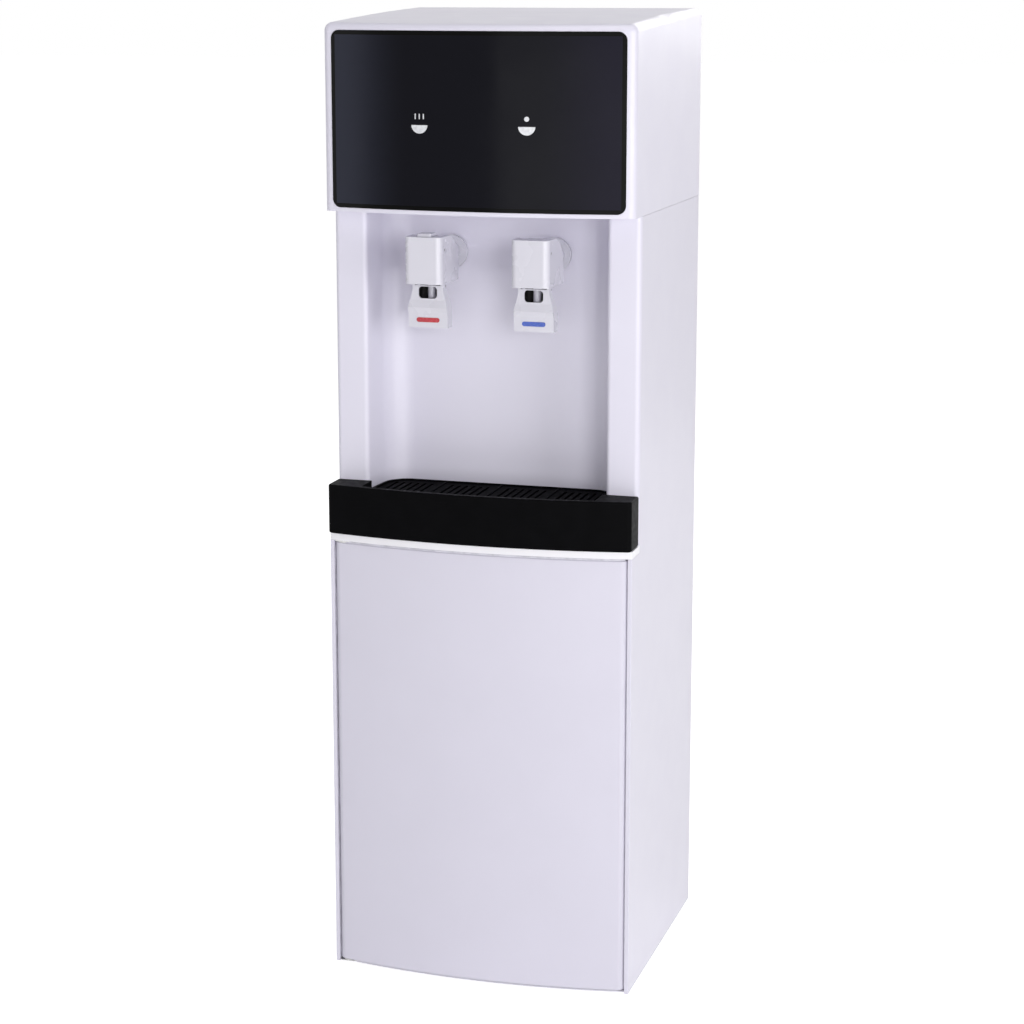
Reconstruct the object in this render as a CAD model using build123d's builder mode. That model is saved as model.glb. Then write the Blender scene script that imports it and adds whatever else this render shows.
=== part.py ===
from build123d import *
import math
import os

os.makedirs("parts", exist_ok=True)

# ---------------------------------------------------------------------------
# Bottom load water cooler. Millimetres, +Z up, +X to the right of someone who
# faces it, +Y to the rear. Origin: middle of the outline, on the floor.
# ---------------------------------------------------------------------------

# Overall form
overall_height = 1080.0
cabinet_width = 345.0
side_depth = 307.0  # corner of the front to the rear edge of the side panels
front_swell = 18.0  # how far the bowed front stands ahead of its corners
tray_proud = 6.0  # how far the tray's band stands ahead of that bow
condenser_reach = 36.0  # rear panel's face to the back of the condenser

# Sheets, walls and clearances
side_sheet = 1.0
deck_sheet = 1.5
rear_sheet = 1.0
moulding_wall = 3.0
thin_wall = 2.5
seam = 0.3  # gap between moulded parts that meet
running_gap = 0.5  # gap round parts that move
fit = 0.05  # radial clearance of a pin or stem in its hole
flange_width = 14.0

# Heights, from the floor up
foot_height = 6.0
door_lift = 4.0  # underside of the cabinet to the door's lower edge
recess_height = 301.0  # tray's front rim to the head's lower edge
door_gap = 2.5  # door's upper edge to the rim above it
shelf_height = 8.2
tray_height = 55.0
grille_drop = 9.0  # tray's front rim to its lower rear rim
head_height = 213.0
head_fall = 13.5  # how much lower the head's top is at its front edge
head_crown = 1.5

# Dispensing recess
column_setback = 27.0
recess_depth = 94.0  # corner of the front to the recess's rear wall
column_width = 36.5
recess_splay = 5.0
recess_round = 28.0
column_round = 6.0

# Fascia
fascia_margin = 10.0  # head's side to the fascia's end
fascia_height = 188.0
fascia_lift = 4.6  # head's lower edge to the fascia's lower edge
fascia_thickness = 3.0
fascia_proud = 0.6
fascia_round = 9.0
fascia_ledge = 8.0
light_pitch = 118.0  # between the two lights
light_rise = 90.0  # fascia's lower edge to the flat of each bowl
light_width = 18.5
light_depth = 9.0

# Taps
tap_pitch = 119.0
tap_drop = 50.0  # head's lower edge down to the shank's axis
shank_radius = 9.0
shank_tail = 21.0  # shank behind the recess wall
flange_radius = 19.0
hood_half = 21.0
hood_front = 8.0  # hood's face ahead of the front corners
hood_length = 60.0
hood_top = 25.0  # above the shank's axis
hood_drop = 25.5  # below it
hood_shoulder = 34.0
hood_wall = 2.2
hood_round = 7.0
stem_setback = 24.0  # valve's axis behind the front corners
chamber_radius = 10.0
nozzle_radius = 4.4
nozzle_bore = 2.8
nozzle_length = 20.0
stem_radius = 3.0
collar_radius = 5.5
lever_pin_radius = 1.5
pin_setback = 4.0
pin_below_top = 14.0
paddle_setback = 9.0
paddle_half = 22.0
paddle_foot = 74.5  # shank's axis down to the paddle's lower edge
paddle_wall = 2.0
paddle_depth = 17.0
paddle_window = (21.0, 13.0)  # opening in front of the nozzle
mark_width = 26.0
mark_height = 5.0
mark_rise = 8.5

# Door
door_strip = 4.6  # side panel's folded edge beside the door
door_depth = 22.0
door_round = 9.0
hinge_inset = 10.0  # pin's axis from the door's edge
hinge_setback = 3.5  # pin's axis behind the front corners
hinge_pin_radius = 2.5
pin_length = 12.0
bush_wall = 1.5
catch_inset = 28.0

# Tanks and machinery
tank_shelf_clear = 28.0  # compressor's top to the shelf above it
cold_tank_radius = 68.0
cold_tank_height = 165.0
foam_wall = 20.0
hot_tank_radius = 52.0
hot_tank_height = 130.0
tank_setback = 212.0
compressor_radius = 68.0
compressor_height = 150.0
compressor_inset = 112.5  # cabinet's side to the compressor's axis
compressor_setback = 205.0
grommet_height = 12.0
compressor_plate = 3.0
compressor_shell = 3.2
compressor_round = 40.0
motor_radius = 36.0
motor_height = 95.0
pipe_radius = 4.0
hose_radius = 5.0
hose_wall = 1.5

# Rear
louvre_count = 9
louvre_pitch = 12.0
condenser_inset = 34.5  # cabinet's side to the tube's bends
condenser_pitch = 38.0
condenser_passes = 9
condenser_foot = 150.0
condenser_tube_radius = 2.5
riser_inset = 22.5  # cabinet's side to the pipes up each side
return_rise = 30.0  # deck to the pipe that comes back in
wire_side = 1.6
wire_count = 23

# Derived places --------------------------------------------------------------
half_width = cabinet_width / 2
front_y = (front_swell + tray_proud - side_depth - condenser_reach) / 2
side_rear = front_y + side_depth
bow_radius = (half_width**2 + front_swell**2) / (2 * front_swell)
bow_centre = front_y - front_swell + bow_radius
inner_half = half_width - side_sheet

head_bottom = overall_height - head_height
tray_top = head_bottom - recess_height
tray_rear_top = tray_top - grille_drop
tray_bottom = tray_top - tray_height
shelf_top = tray_bottom - seam
shelf_bottom = shelf_top - shelf_height
door_top = shelf_bottom - door_gap
door_bottom = foot_height + door_lift
door_height = door_top - door_bottom
floor_top = foot_height + deck_sheet
tap_height = head_bottom - tap_drop
recess_half = half_width - column_width
fascia_width = cabinet_width - 2 * fascia_margin
column_front = front_y + column_setback
recess_wall = front_y + recess_depth
recess_back = recess_wall + moulding_wall
door_half = half_width - door_strip - running_gap
rear_face = side_rear + rear_sheet

deck_bottom = shelf_bottom + 3
deck_top = deck_bottom + deck_sheet
compressor_offset = half_width - compressor_inset
compressor_y = front_y + compressor_setback
compressor_plate_z = deck_top + grommet_height
shell_foot = compressor_plate_z + compressor_plate
shell_seam = shell_foot + 0.55 * compressor_height
stub_z = shell_seam + 14  # both of the compressor's pipe stubs
tank_shelf_height = shell_foot + compressor_height + tank_shelf_clear
tank_shelf_top = tank_shelf_height + deck_sheet
tank_y = front_y + tank_setback
cold_x = tap_pitch / 2
foam_radius = cold_tank_radius + foam_wall
hot_tank_offset = (cold_x - foam_radius - inner_half) / 2
condenser_half = half_width - condenser_inset
riser_x = half_width - riser_inset

BASE = (Align.CENTER, Align.CENTER, Align.MIN)


def block(x_limits, y_limits, z_limits, mode=Mode.ADD):
    """A box between two limits on each axis."""
    sizes = [high - low for low, high in (x_limits, y_limits, z_limits)]
    middle = [(low + high) / 2 for low, high in (x_limits, y_limits, z_limits)]
    with Locations(tuple(middle)):
        return Box(*sizes, mode=mode)


def rod(start, axis, radius, length, mode=Mode.ADD):
    """A round rod from a start point along an axis."""
    plane = Plane(origin=start, z_dir=axis)
    with Locations(plane.location):
        return Cylinder(radius, length, align=BASE, mode=mode)


def bowed_plan(height, half, rear, inset=0.0, rounding=0.0):
    """A plan outline whose front follows the common bow, moved in by inset."""
    with BuildSketch(Plane.XY.offset(height)) as outline:
        with Locations((0, bow_centre)):
            Circle(bow_radius - inset)
        foremost = front_y - front_swell + inset
        with Locations((0, (foremost + rear) / 2)):
            Rectangle(2 * half, rear - foremost, mode=Mode.INTERSECT)
        if rounding:
            fillet(outline.vertices().group_by(Axis.Y)[0], radius=rounding)
    return outline.sketch


def bend_radii(route):
    """The largest radius that each corner's two runs leave room for."""
    radii = []
    for before, corner, after in zip(route, route[1:], route[2:]):
        run_in = Vector(*corner) - Vector(*before)
        run_out = Vector(*after) - Vector(*corner)
        turn = math.radians(run_in.get_angle(run_out))
        shorter = min(run_in.length, run_out.length)
        radii.append(0.45 * shorter / math.tan(turn / 2))
    return radii


def bent_tube(name, route, radius):
    """A tube along straight runs joined by tangent arcs."""
    radii = bend_radii(route)
    print(name, "bend radii", [round(value, 1) for value in radii])
    with BuildPart() as run:
        with BuildLine() as path:
            FilletPolyline(*[Vector(*point) for point in route], radius=radii)
        with BuildSketch(Plane(origin=path.line @ 0, z_dir=path.line % 0)):
            Circle(radius)
        sweep()
    length = sum(edge.length for edge in path.edges())
    filled = run.part.volume / (math.pi * radius**2 * length)
    print(name, "length", round(length, 1), "volume over section times length", round(filled, 4))
    return run.part


def save(part, name):
    part.label = name
    export_step(part, "parts/" + name + ".step")


# ---------------------------------------------------------------------------
# Cabinet sheet metal
# ---------------------------------------------------------------------------

pan_half = inner_half - seam
pan_front = front_y + door_depth + 2
pan_nose_inset = 6.0  # pan's bowed front edge behind the door's face
pan_lip = 12.0
with BuildPart() as base_pan:
    extrude(bowed_plan(foot_height, door_half, pan_front + 1, pan_nose_inset), amount=deck_sheet)
    block((-pan_half, pan_half), (pan_front, side_rear - 2), (foot_height, floor_top))
    for side in (-1, 1):
        edge = sorted((side * pan_half, side * (pan_half - deck_sheet)))
        block(edge, (pan_front, side_rear - 2), (floor_top, floor_top + pan_lip))
    pan_rear = side_rear - 2
    block((-pan_half, pan_half), (pan_rear - deck_sheet, pan_rear), (floor_top, floor_top + pan_lip))
    foot_inset = 20.0
    foot_places = [
        (side * (pan_half - foot_inset), y)
        for side in (-1, 1)
        for y in (pan_front + foot_inset + 16, side_rear - foot_inset - 6)
    ]
    foot_stud = 4.0
    with Locations(*[(x, y, foot_height) for x, y in foot_places]):
        Cylinder(foot_stud, 3 * deck_sheet, mode=Mode.SUBTRACT)
save(base_pan.part, "base_pan")

foot_radius = 15.0
with BuildPart() as feet:
    with Locations(*[(x, y, 0) for x, y in foot_places]):
        Cone(foot_radius - 2, foot_radius, foot_height, align=BASE)
        Cylinder(foot_stud - 0.05, foot_height + deck_sheet, align=BASE)
    with Locations(*[(x, y, floor_top) for x, y in foot_places]):
        Cylinder(foot_stud + 2, 1.5, align=BASE)
save(feet.part, "feet")

hem = 12.0
screw_inset = 8.0
screw_rows = [head_bottom - 30.0, deck_top + 133.0, shelf_bottom - 72.5, foot_height + 54.0]
for side, side_name in ((-1, "left"), (1, "right")):
    outer = side * half_width
    upper_front = column_front + column_round + seam
    side_top = head_bottom - seam
    with BuildPart() as side_panel:
        with BuildSketch(Plane.YZ.offset(outer)):
            with BuildLine():
                Polyline(
                    (front_y, foot_height),
                    (side_rear, foot_height),
                    (side_rear, side_top),
                    (upper_front, side_top),
                    (upper_front, shelf_bottom - seam),
                    (front_y, shelf_bottom - seam),
                    close=True,
                )
            make_face()
        extrude(amount=-side * side_sheet)
        lip = sorted((outer, side * (half_width - door_strip)))
        block(lip, (front_y, front_y + side_sheet), (foot_height, shelf_bottom - seam))
        turn_back = sorted((side * (half_width - door_strip), side * (half_width - door_strip + side_sheet)))
        block(turn_back, (front_y, front_y + hem), (foot_height, shelf_bottom - seam))
        rear_lip = sorted((outer, side * (half_width - flange_width)))
        block(rear_lip, (side_rear - side_sheet, side_rear), (foot_height + 8, side_top))
        fillet(
            side_panel.edges()
            .filter_by(Axis.Z)
            .filter_by(lambda edge: abs(abs(edge.center().X) - half_width) < 0.01)
            .filter_by(lambda edge: edge.center().Y < front_y + 0.1),
            radius=0.8,
        )
        with Locations(*[(side * (half_width - screw_inset), side_rear - 2, z) for z in screw_rows]):
            Cylinder(2.1, 8, rotation=(90, 0, 0), mode=Mode.SUBTRACT)
    save(side_panel.part, side_name + "_side_panel")

panel_half = half_width - 3.0
panel_foot = foot_height + 10
panel_top = head_bottom - 2
louvre_width = 70.0
louvre_slot = 4.0
louvre_middle = deck_top + 148.0
switch_x = 87.5 - half_width
switch_z = head_bottom - 67.0
switch_cut_width = 44.0
switch_cut_height = 24.0
inlet_x = half_width - 54.5
inlet_z = deck_top + 38.0
inlet_width = 27.0
inlet_height = 20.0
drain_x = -20.0
drain_z = deck_top + 53.0
drain_radius = 8.0
with BuildPart() as rear_panel:
    with BuildSketch(Plane.XZ.offset(-rear_face)):
        with Locations((0, (panel_foot + panel_top) / 2)):
            RectangleRounded(2 * panel_half, panel_top - panel_foot, 6)
        with Locations(*[(side * (half_width - screw_inset), z) for side in (-1, 1) for z in screw_rows]):
            Circle(2.1, mode=Mode.SUBTRACT)
        with Locations((0, louvre_middle)):
            with GridLocations(louvre_width + 18, louvre_pitch, 3, louvre_count):
                SlotOverall(louvre_width, louvre_slot, mode=Mode.SUBTRACT)
        with Locations((switch_x, switch_z)):
            Rectangle(switch_cut_width, switch_cut_height, mode=Mode.SUBTRACT)
        with Locations((inlet_x, inlet_z)):
            Rectangle(inlet_width + seam, inlet_height + seam, mode=Mode.SUBTRACT)
        with Locations((drain_x, drain_z)):
            Circle(drain_radius + seam, mode=Mode.SUBTRACT)
        with Locations((riser_x, stub_z), (-riser_x, deck_top + return_rise)):
            Circle(condenser_tube_radius + 1, mode=Mode.SUBTRACT)
    extrude(amount=rear_sheet)
save(rear_panel.part, "rear_panel")

# ---------------------------------------------------------------------------
# Shelf under the tray, compressor deck and tank shelf
# ---------------------------------------------------------------------------

shelf_hollow_half = 100.0
with BuildPart() as tray_shelf:
    extrude(bowed_plan(shelf_bottom, half_width, column_front + column_round), amount=shelf_height)
    block((-pan_half, pan_half), (column_front, recess_back), (shelf_bottom, shelf_top))
    fillet(
        tray_shelf.edges().filter_by(Axis.Z).group_by(Axis.Y)[0],
        radius=1.5,
    )
    hollow = bowed_plan(shelf_bottom, shelf_hollow_half, recess_back - moulding_wall, moulding_wall)
    extrude(hollow, amount=shelf_height - moulding_wall, mode=Mode.SUBTRACT)
    shelf_ribs = (front_y - 10, recess_back - moulding_wall)
    for x in (-50.0, 0.0, 50.0):
        block((x - 1, x + 1), shelf_ribs, (shelf_bottom, shelf_top - moulding_wall))
save(tray_shelf.part, "tray_shelf")

deck_front = recess_back + seam
deck_rear = side_rear - side_sheet - seam
deck_lip = 14.0
bolt_span_x = 120.0
bolt_span_y = 96.0
bolt_places = [
    (compressor_offset + sx * bolt_span_x / 2, front_y + compressor_setback + sy * bolt_span_y / 2)
    for sx in (-1, 1)
    for sy in (-1, 1)
]
hose_hole_x = 14.5 - half_width
hose_hole_y = front_y + 115.0
with BuildPart() as compressor_deck:
    block((-pan_half, pan_half), (deck_front, deck_rear), (deck_bottom, deck_top))
    for side in (-1, 1):
        edge = sorted((side * pan_half, side * (pan_half - deck_sheet)))
        block(edge, (deck_front, deck_rear), (deck_top, deck_top + deck_lip))
    with Locations(*[(x, y, deck_bottom) for x, y in bolt_places]):
        Cylinder(4.2, 3 * deck_sheet, mode=Mode.SUBTRACT)
    with Locations((hose_hole_x, hose_hole_y, deck_bottom)):
        Cylinder(hose_radius + 3, 3 * deck_sheet, mode=Mode.SUBTRACT)
save(compressor_deck.part, "compressor_deck")

feed_hose_x = -34.0
feed_hose_y = front_y + 120
suction_x = -12.0
suction_y = front_y + 180
with BuildPart() as tank_shelf:
    block((-pan_half, pan_half), (deck_front, deck_rear), (tank_shelf_height, tank_shelf_top))
    for side in (-1, 1):
        edge = sorted((side * pan_half, side * (pan_half - deck_sheet)))
        block(edge, (deck_front, deck_rear), (tank_shelf_height - deck_lip, tank_shelf_height))
    for place, hole_radius in (
        ((feed_hose_x, feed_hose_y), hose_radius + 2),
        ((hot_tank_offset, front_y + tank_setback), pipe_radius + 4),
        ((suction_x, suction_y), pipe_radius + 1),
    ):
        with Locations((*place, tank_shelf_height)):
            Cylinder(hole_radius, 3 * deck_sheet, mode=Mode.SUBTRACT)
save(tank_shelf.part, "tank_shelf")

# ---------------------------------------------------------------------------
# Dispensing recess: one moulding with both columns
# ---------------------------------------------------------------------------

tap_places = {"hot": -tap_pitch / 2, "cold": tap_pitch / 2}


def recess_plan(height, grow=0.0):
    """The recess in plan: splayed sides that round into the rear wall."""
    with BuildSketch(Plane.XY.offset(height)) as outline:
        with BuildLine():
            Polyline(
                (-recess_half - grow, column_front - 1),
                (recess_half + grow, column_front - 1),
                (recess_half - recess_splay + grow, recess_wall + grow),
                (-recess_half + recess_splay - grow, recess_wall + grow),
                close=True,
            )
        make_face()
        fillet(outline.vertices().group_by(Axis.Y)[-1], radius=recess_round + grow)
    return outline.sketch


with BuildPart() as alcove_housing:
    with BuildSketch(Plane.XY.offset(shelf_top)) as alcove_outline:
        with Locations((0, (column_front + recess_back) / 2)):
            Rectangle(2 * pan_half, recess_back - column_front)
        with Locations((0, column_front + column_round / 2)):
            Rectangle(cabinet_width, column_round)
        fillet(alcove_outline.vertices().group_by(Axis.Y)[0], radius=column_round - 0.5)
    extrude(amount=head_bottom - shelf_top)
    extrude(recess_plan(shelf_top), amount=head_bottom - shelf_top, mode=Mode.SUBTRACT)
    fillet(
        alcove_housing.edges()
        .filter_by(Axis.Z)
        .group_by(Axis.Y)[0]
        .filter_by(lambda edge: abs(abs(edge.center().X) - recess_half) < 1),
        radius=5,
    )
    pocket_height = head_bottom - shelf_top - moulding_wall
    with BuildSketch(Plane.XY.offset(shelf_top + moulding_wall)):
        with Locations((0, (column_front + moulding_wall + recess_back) / 2)):
            Rectangle(2 * (pan_half - moulding_wall), recess_back - column_front - moulding_wall)
        add(recess_plan(shelf_top + moulding_wall, moulding_wall), mode=Mode.SUBTRACT)
    extrude(amount=pocket_height, mode=Mode.SUBTRACT)
    for centre in tap_places.values():
        rod((centre, recess_wall - 1, tap_height), (0, 1, 0), shank_radius + 0.05, 6, mode=Mode.SUBTRACT)
save(alcove_housing.part, "alcove_housing")

# ---------------------------------------------------------------------------
# Head
# ---------------------------------------------------------------------------

head_front_corner = 8.0
head_edge_round = 9.0
head_rear = side_rear + rear_sheet


def head_form(side_inset, front_inset, foot, edge_round):
    """The head's outer form, or its hollow when moved in by the insets."""
    rear = head_rear - side_inset
    front = front_y - front_swell
    front_top = overall_height - head_fall - side_inset
    rear_top = overall_height - side_inset
    corner = max(head_front_corner - front_inset, 1.0)
    with BuildPart() as form:
        extrude(bowed_plan(foot, half_width - side_inset, rear, front_inset, corner), amount=head_height)
        with BuildSketch(Plane.YZ.offset(-half_width)):
            with BuildLine():
                ThreePointArc(
                    (front, front_top),
                    ((front + rear) / 2, (front_top + rear_top) / 2 + head_crown),
                    (rear, rear_top),
                )
                Polyline((rear, rear_top), (rear, foot), (front, foot), (front, front_top))
            make_face()
        extrude(amount=cabinet_width, mode=Mode.INTERSECT)
        fillet(form.faces().sort_by(Axis.Z)[-1].edges(), radius=edge_round)
    return form.part


def bow_skin(outer, inner, foot, top):
    """A plain bowed sheet between two offsets from the common bow."""
    with BuildPart() as skin:
        with BuildSketch(Plane.XY.offset(foot)):
            with Locations((0, bow_centre)):
                Circle(bow_radius + outer)
                Circle(bow_radius + inner, mode=Mode.SUBTRACT)
            with Locations((0, front_y)):
                Rectangle(cabinet_width + 40, 4 * front_swell, mode=Mode.INTERSECT)
        extrude(amount=top - foot)
    return skin.part


fascia_bottom = head_bottom + fascia_lift
fascia_top = fascia_bottom + fascia_height
fascia_middle = fascia_bottom + fascia_height / 2
fascia_seat = fascia_thickness - fascia_proud
head_wall = moulding_wall + fascia_seat
bow_front = front_y - front_swell - 20
with BuildPart() as head_housing:
    add(head_form(0.0, 0.0, head_bottom, head_edge_round))
    hollow_foot = head_bottom + moulding_wall
    head_hollow = head_form(moulding_wall, head_wall, hollow_foot, head_edge_round - moulding_wall)
    add(head_hollow, mode=Mode.SUBTRACT)
    block(
        (-pan_half + moulding_wall, pan_half - moulding_wall),
        (recess_back, head_rear - moulding_wall),
        (head_bottom - 1, head_bottom + moulding_wall + 1),
        mode=Mode.SUBTRACT,
    )
    with BuildPart(mode=Mode.PRIVATE) as fascia_pocket:
        with BuildSketch(Plane.XZ.offset(-front_y - 10)):
            with Locations((0, fascia_middle)):
                RectangleRounded(fascia_width + 2 * seam, fascia_height + 2 * seam, fascia_round + seam)
        extrude(amount=front_y + 10 - bow_front)
        add(bow_skin(15, -fascia_seat, fascia_bottom - 5, fascia_top + 5), mode=Mode.INTERSECT)
    add(fascia_pocket.part, mode=Mode.SUBTRACT)
    with BuildSketch(Plane.XZ.offset(-front_y - 12)):
        with Locations((0, fascia_middle)):
            RectangleRounded(fascia_width - 2 * fascia_ledge, fascia_height - 2 * fascia_ledge, fascia_round)
    extrude(amount=front_y + 12 - bow_front, mode=Mode.SUBTRACT)
save(head_housing.part, "head_housing")

light_flat = fascia_bottom + light_rise
light_places = {"hot": -light_pitch / 2, "cold": light_pitch / 2}
dot_radius = 2.75
dot_rise = 5.2
steam_rise = 6.0
steam_height = 6.0
steam_width = 1.4
steam_pitch = 4.6
board_setback = 5.0
board_half = 80.0
board_height = 36.0
board_sheet = 1.6
board_middle = light_flat - 2
boss_radius = 4.0
boss_places = [
    (sx * (board_half - 6), board_middle + sz * (board_height / 2 - 6))
    for sx in (-1, 1)
    for sz in (-1, 1)
]


lens_gap = 0.1
lens_plane = Plane.XZ.offset(-front_y - 12)


def bowl_plan(centre, gap=0.0):
    """A bowl seen from the front: flat above, a shallow round arc below."""
    half = light_width / 2 - gap
    with BuildSketch(lens_plane) as outline:
        with BuildLine():
            Line((centre - half, light_flat - gap), (centre + half, light_flat - gap))
            ThreePointArc(
                (centre + half, light_flat - gap),
                (centre, light_flat - light_depth + gap),
                (centre - half, light_flat - gap),
            )
        make_face()
    return outline.sketch


def dot_plan(centre, gap=0.0):
    """A round dot above a bowl."""
    with BuildSketch(lens_plane) as outline:
        with Locations((centre, light_flat + dot_rise + dot_radius)):
            Circle(dot_radius - gap)
    return outline.sketch


def steam_plan(centre, gap=0.0):
    """Three small upright dashes above a bowl."""
    dash_z = light_flat + steam_rise + steam_height / 2
    with BuildSketch(lens_plane) as outline:
        with Locations(*[(centre + step * steam_pitch, dash_z) for step in (-1, 0, 1)]):
            SlotOverall(steam_height - 2 * gap, steam_width - 2 * gap, rotation=90)
    return outline.sketch


lens_plans = {"hot": (bowl_plan, steam_plan), "cold": (bowl_plan, dot_plan)}

with BuildPart() as fascia_panel:
    with BuildSketch(Plane.XZ.offset(-front_y - 10)):
        with Locations((0, fascia_middle)):
            RectangleRounded(fascia_width, fascia_height, fascia_round)
    extrude(amount=front_y + 10 - bow_front)
    add(bow_skin(fascia_proud, -fascia_seat, fascia_bottom - 5, fascia_top + 5), mode=Mode.INTERSECT)
    with BuildPart(mode=Mode.PRIVATE) as board_bosses:
        with BuildSketch(Plane.XZ.offset(-front_y - board_setback)):
            with Locations(*boss_places):
                Circle(boss_radius)
        extrude(amount=40)
        add(bow_skin(-fascia_seat, -60, fascia_bottom, fascia_top), mode=Mode.INTERSECT)
    add(board_bosses.part)
    for light_name, plans in lens_plans.items():
        for lens_plan in plans:
            extrude(lens_plan(light_places[light_name]), amount=60, mode=Mode.SUBTRACT)
save(fascia_panel.part, "fascia_panel")

lens_lift = 0.2
for light_name, plans in lens_plans.items():
    with BuildPart() as light_lens:
        for lens_plan in plans:
            extrude(lens_plan(light_places[light_name], lens_gap), amount=60)
        add(bow_skin(fascia_proud + lens_lift, -fascia_seat, fascia_bottom, fascia_top), mode=Mode.INTERSECT)
    save(light_lens.part, light_name + "_light_lens")

board_front = front_y + board_setback
with BuildPart() as light_board:
    with BuildSketch(Plane.XZ.offset(-board_front - board_sheet)):
        with Locations((0, board_middle)):
            RectangleRounded(2 * board_half, board_height, 2)
    extrude(amount=board_sheet)
    for centre in light_places.values():
        block((centre - 9, centre + 9), (board_front - 9, board_front), (light_flat - 9, light_flat - 1))
    board_back = board_front + board_sheet
    block((-12, 12), (board_back, board_back + 9), (board_middle - 8, board_middle + 4))
save(light_board.part, "light_board")

# ---------------------------------------------------------------------------
# Taps
# ---------------------------------------------------------------------------

hood_face = front_y - hood_front
hood_rear = hood_face + hood_length
hood_foot = tap_height - hood_drop
hood_head = tap_height + hood_top
pin_y = front_y + pin_setback
pin_z = hood_head - pin_below_top
stem_y = front_y + stem_setback
chamber_foot = hood_foot + 2
chamber_head = pin_z - 5
chamber_wall = 3.0
chamber_cavity = chamber_radius - 2
chamber_floor = chamber_foot + chamber_wall
waterway_radius = 4.0
waterway_z = tap_height - 2
gasket_sheet = 1.5
flange_sheet = 4.0
flange_front = recess_wall - gasket_sheet - flange_sheet
shank_end = recess_back + shank_tail
fork_sheet = 3.0
collar_foot = pin_z + fork_sheet / 2 + seam
collar_sheet = 2.0
latch_key = 5.0
latch_travel = 6.0
latch_key_front = front_y + 2.5


def hood_plan(centre, inset, lowered):
    """The hood's side outline: square front, quarter-round shoulder behind."""
    front = hood_face + inset
    rear = hood_rear - inset
    head = hood_head - inset
    shoulder = hood_shoulder - inset
    foot = hood_foot - lowered
    with BuildSketch(Plane.YZ.offset(centre - hood_half + inset)) as outline:
        with BuildLine():
            Polyline(
                (rear, head - shoulder),
                (rear, foot),
                (front, foot),
                (front, head),
                (rear - shoulder, head),
            )
            RadiusArc((rear - shoulder, head), (rear, head - shoulder), shoulder)
        make_face()
    return outline.sketch


for tap_name, centre in tap_places.items():
    with BuildPart() as tap_body:
        extrude(hood_plan(centre, 0, 0), amount=2 * hood_half)
        fillet(tap_body.edges().filter_by(Axis.Z).group_by(Axis.Y)[0], radius=hood_round)
        with BuildPart(mode=Mode.PRIVATE) as hood_hollow:
            extrude(hood_plan(centre, hood_wall, 5), amount=2 * (hood_half - hood_wall))
            fillet(hood_hollow.edges().filter_by(Axis.Z).group_by(Axis.Y)[0], radius=hood_round - hood_wall)
        add(hood_hollow.part, mode=Mode.SUBTRACT)
        rod((centre, stem_y, chamber_foot), (0, 0, 1), chamber_radius, chamber_head - chamber_foot)
        rod((centre, stem_y, chamber_foot - nozzle_length), (0, 0, 1), nozzle_radius, nozzle_length)
        rod((centre, stem_y, waterway_z), (0, 1, 0), waterway_radius + 2, hood_rear - stem_y)
        neck_start = (centre, hood_rear - hood_wall, tap_height)
        rod(neck_start, (0, 1, 0), shank_radius + 3, flange_front - hood_rear + hood_wall)
        rod((centre, flange_front, tap_height), (0, 1, 0), flange_radius, flange_sheet)
        rod((centre, flange_front, tap_height), (0, 1, 0), shank_radius, shank_end - flange_front)
        rod(
            (centre, stem_y, chamber_floor),
            (0, 0, 1),
            chamber_cavity,
            chamber_head - chamber_wall - chamber_floor,
            mode=Mode.SUBTRACT,
        )
        nozzle_tip = chamber_foot - nozzle_length
        bore_length = nozzle_length + chamber_wall + 1
        rod((centre, stem_y, nozzle_tip), (0, 0, 1), nozzle_bore, bore_length, mode=Mode.SUBTRACT)
        stem_run = chamber_head - chamber_floor + 1
        rod((centre, stem_y, chamber_floor), (0, 0, 1), stem_radius + fit, stem_run, mode=Mode.SUBTRACT)
        waterway_run = shank_end - stem_y + 1
        rod((centre, stem_y, waterway_z), (0, 1, 0), waterway_radius, waterway_run, mode=Mode.SUBTRACT)
        for side in (-1, 1):
            pin_mouth = (centre + side * (hood_half + 1), pin_y, pin_z)
            rod(pin_mouth, (-side, 0, 0), lever_pin_radius, 8, mode=Mode.SUBTRACT)
        if tap_name == "hot":
            latch_rear = latch_key_front + latch_key + latch_travel
            latch_slot_y = (latch_key_front - running_gap, latch_rear + running_gap)
            block((centre - 2, centre + 2), latch_slot_y, (hood_head - 4, hood_head + 1), mode=Mode.SUBTRACT)
    save(tap_body.part, tap_name + "_tap_body")

seal_radius = chamber_cavity - 1.5
seal_sheet = 3.0
for tap_name, centre in tap_places.items():
    with BuildPart() as plunger:
        seal_foot = chamber_floor + seam
        rod((centre, stem_y, seal_foot), (0, 0, 1), seal_radius, seal_sheet)
        rod((centre, stem_y, seal_foot), (0, 0, 1), stem_radius, collar_foot - seal_foot)
        rod((centre, stem_y, collar_foot), (0, 0, 1), collar_radius, collar_sheet)
    save(plunger.part, tap_name + "_plunger")

with BuildPart() as lever_pins:
    for centre in tap_places.values():
        rod((centre - hood_half, pin_y, pin_z), (1, 0, 0), lever_pin_radius - fit, 2 * hood_half)
save(lever_pins.part, "lever_pins")

arm_sheet = 2.5
arm_outer = hood_half - hood_wall - 1.8
eye_radius = 3.6
paddle_front = front_y + paddle_setback
paddle_bottom = tap_height - paddle_foot
paddle_neck = hood_foot - 3
paddle_ridge = paddle_bottom + 22
fork_front = stem_y - 3
fork_rear = stem_y + 3
fork_slot = stem_radius + 0.7
window_middle = paddle_neck - 1.2 - paddle_window[1] / 2
mark_sink = 0.6
mark_proud = 0.4


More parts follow.
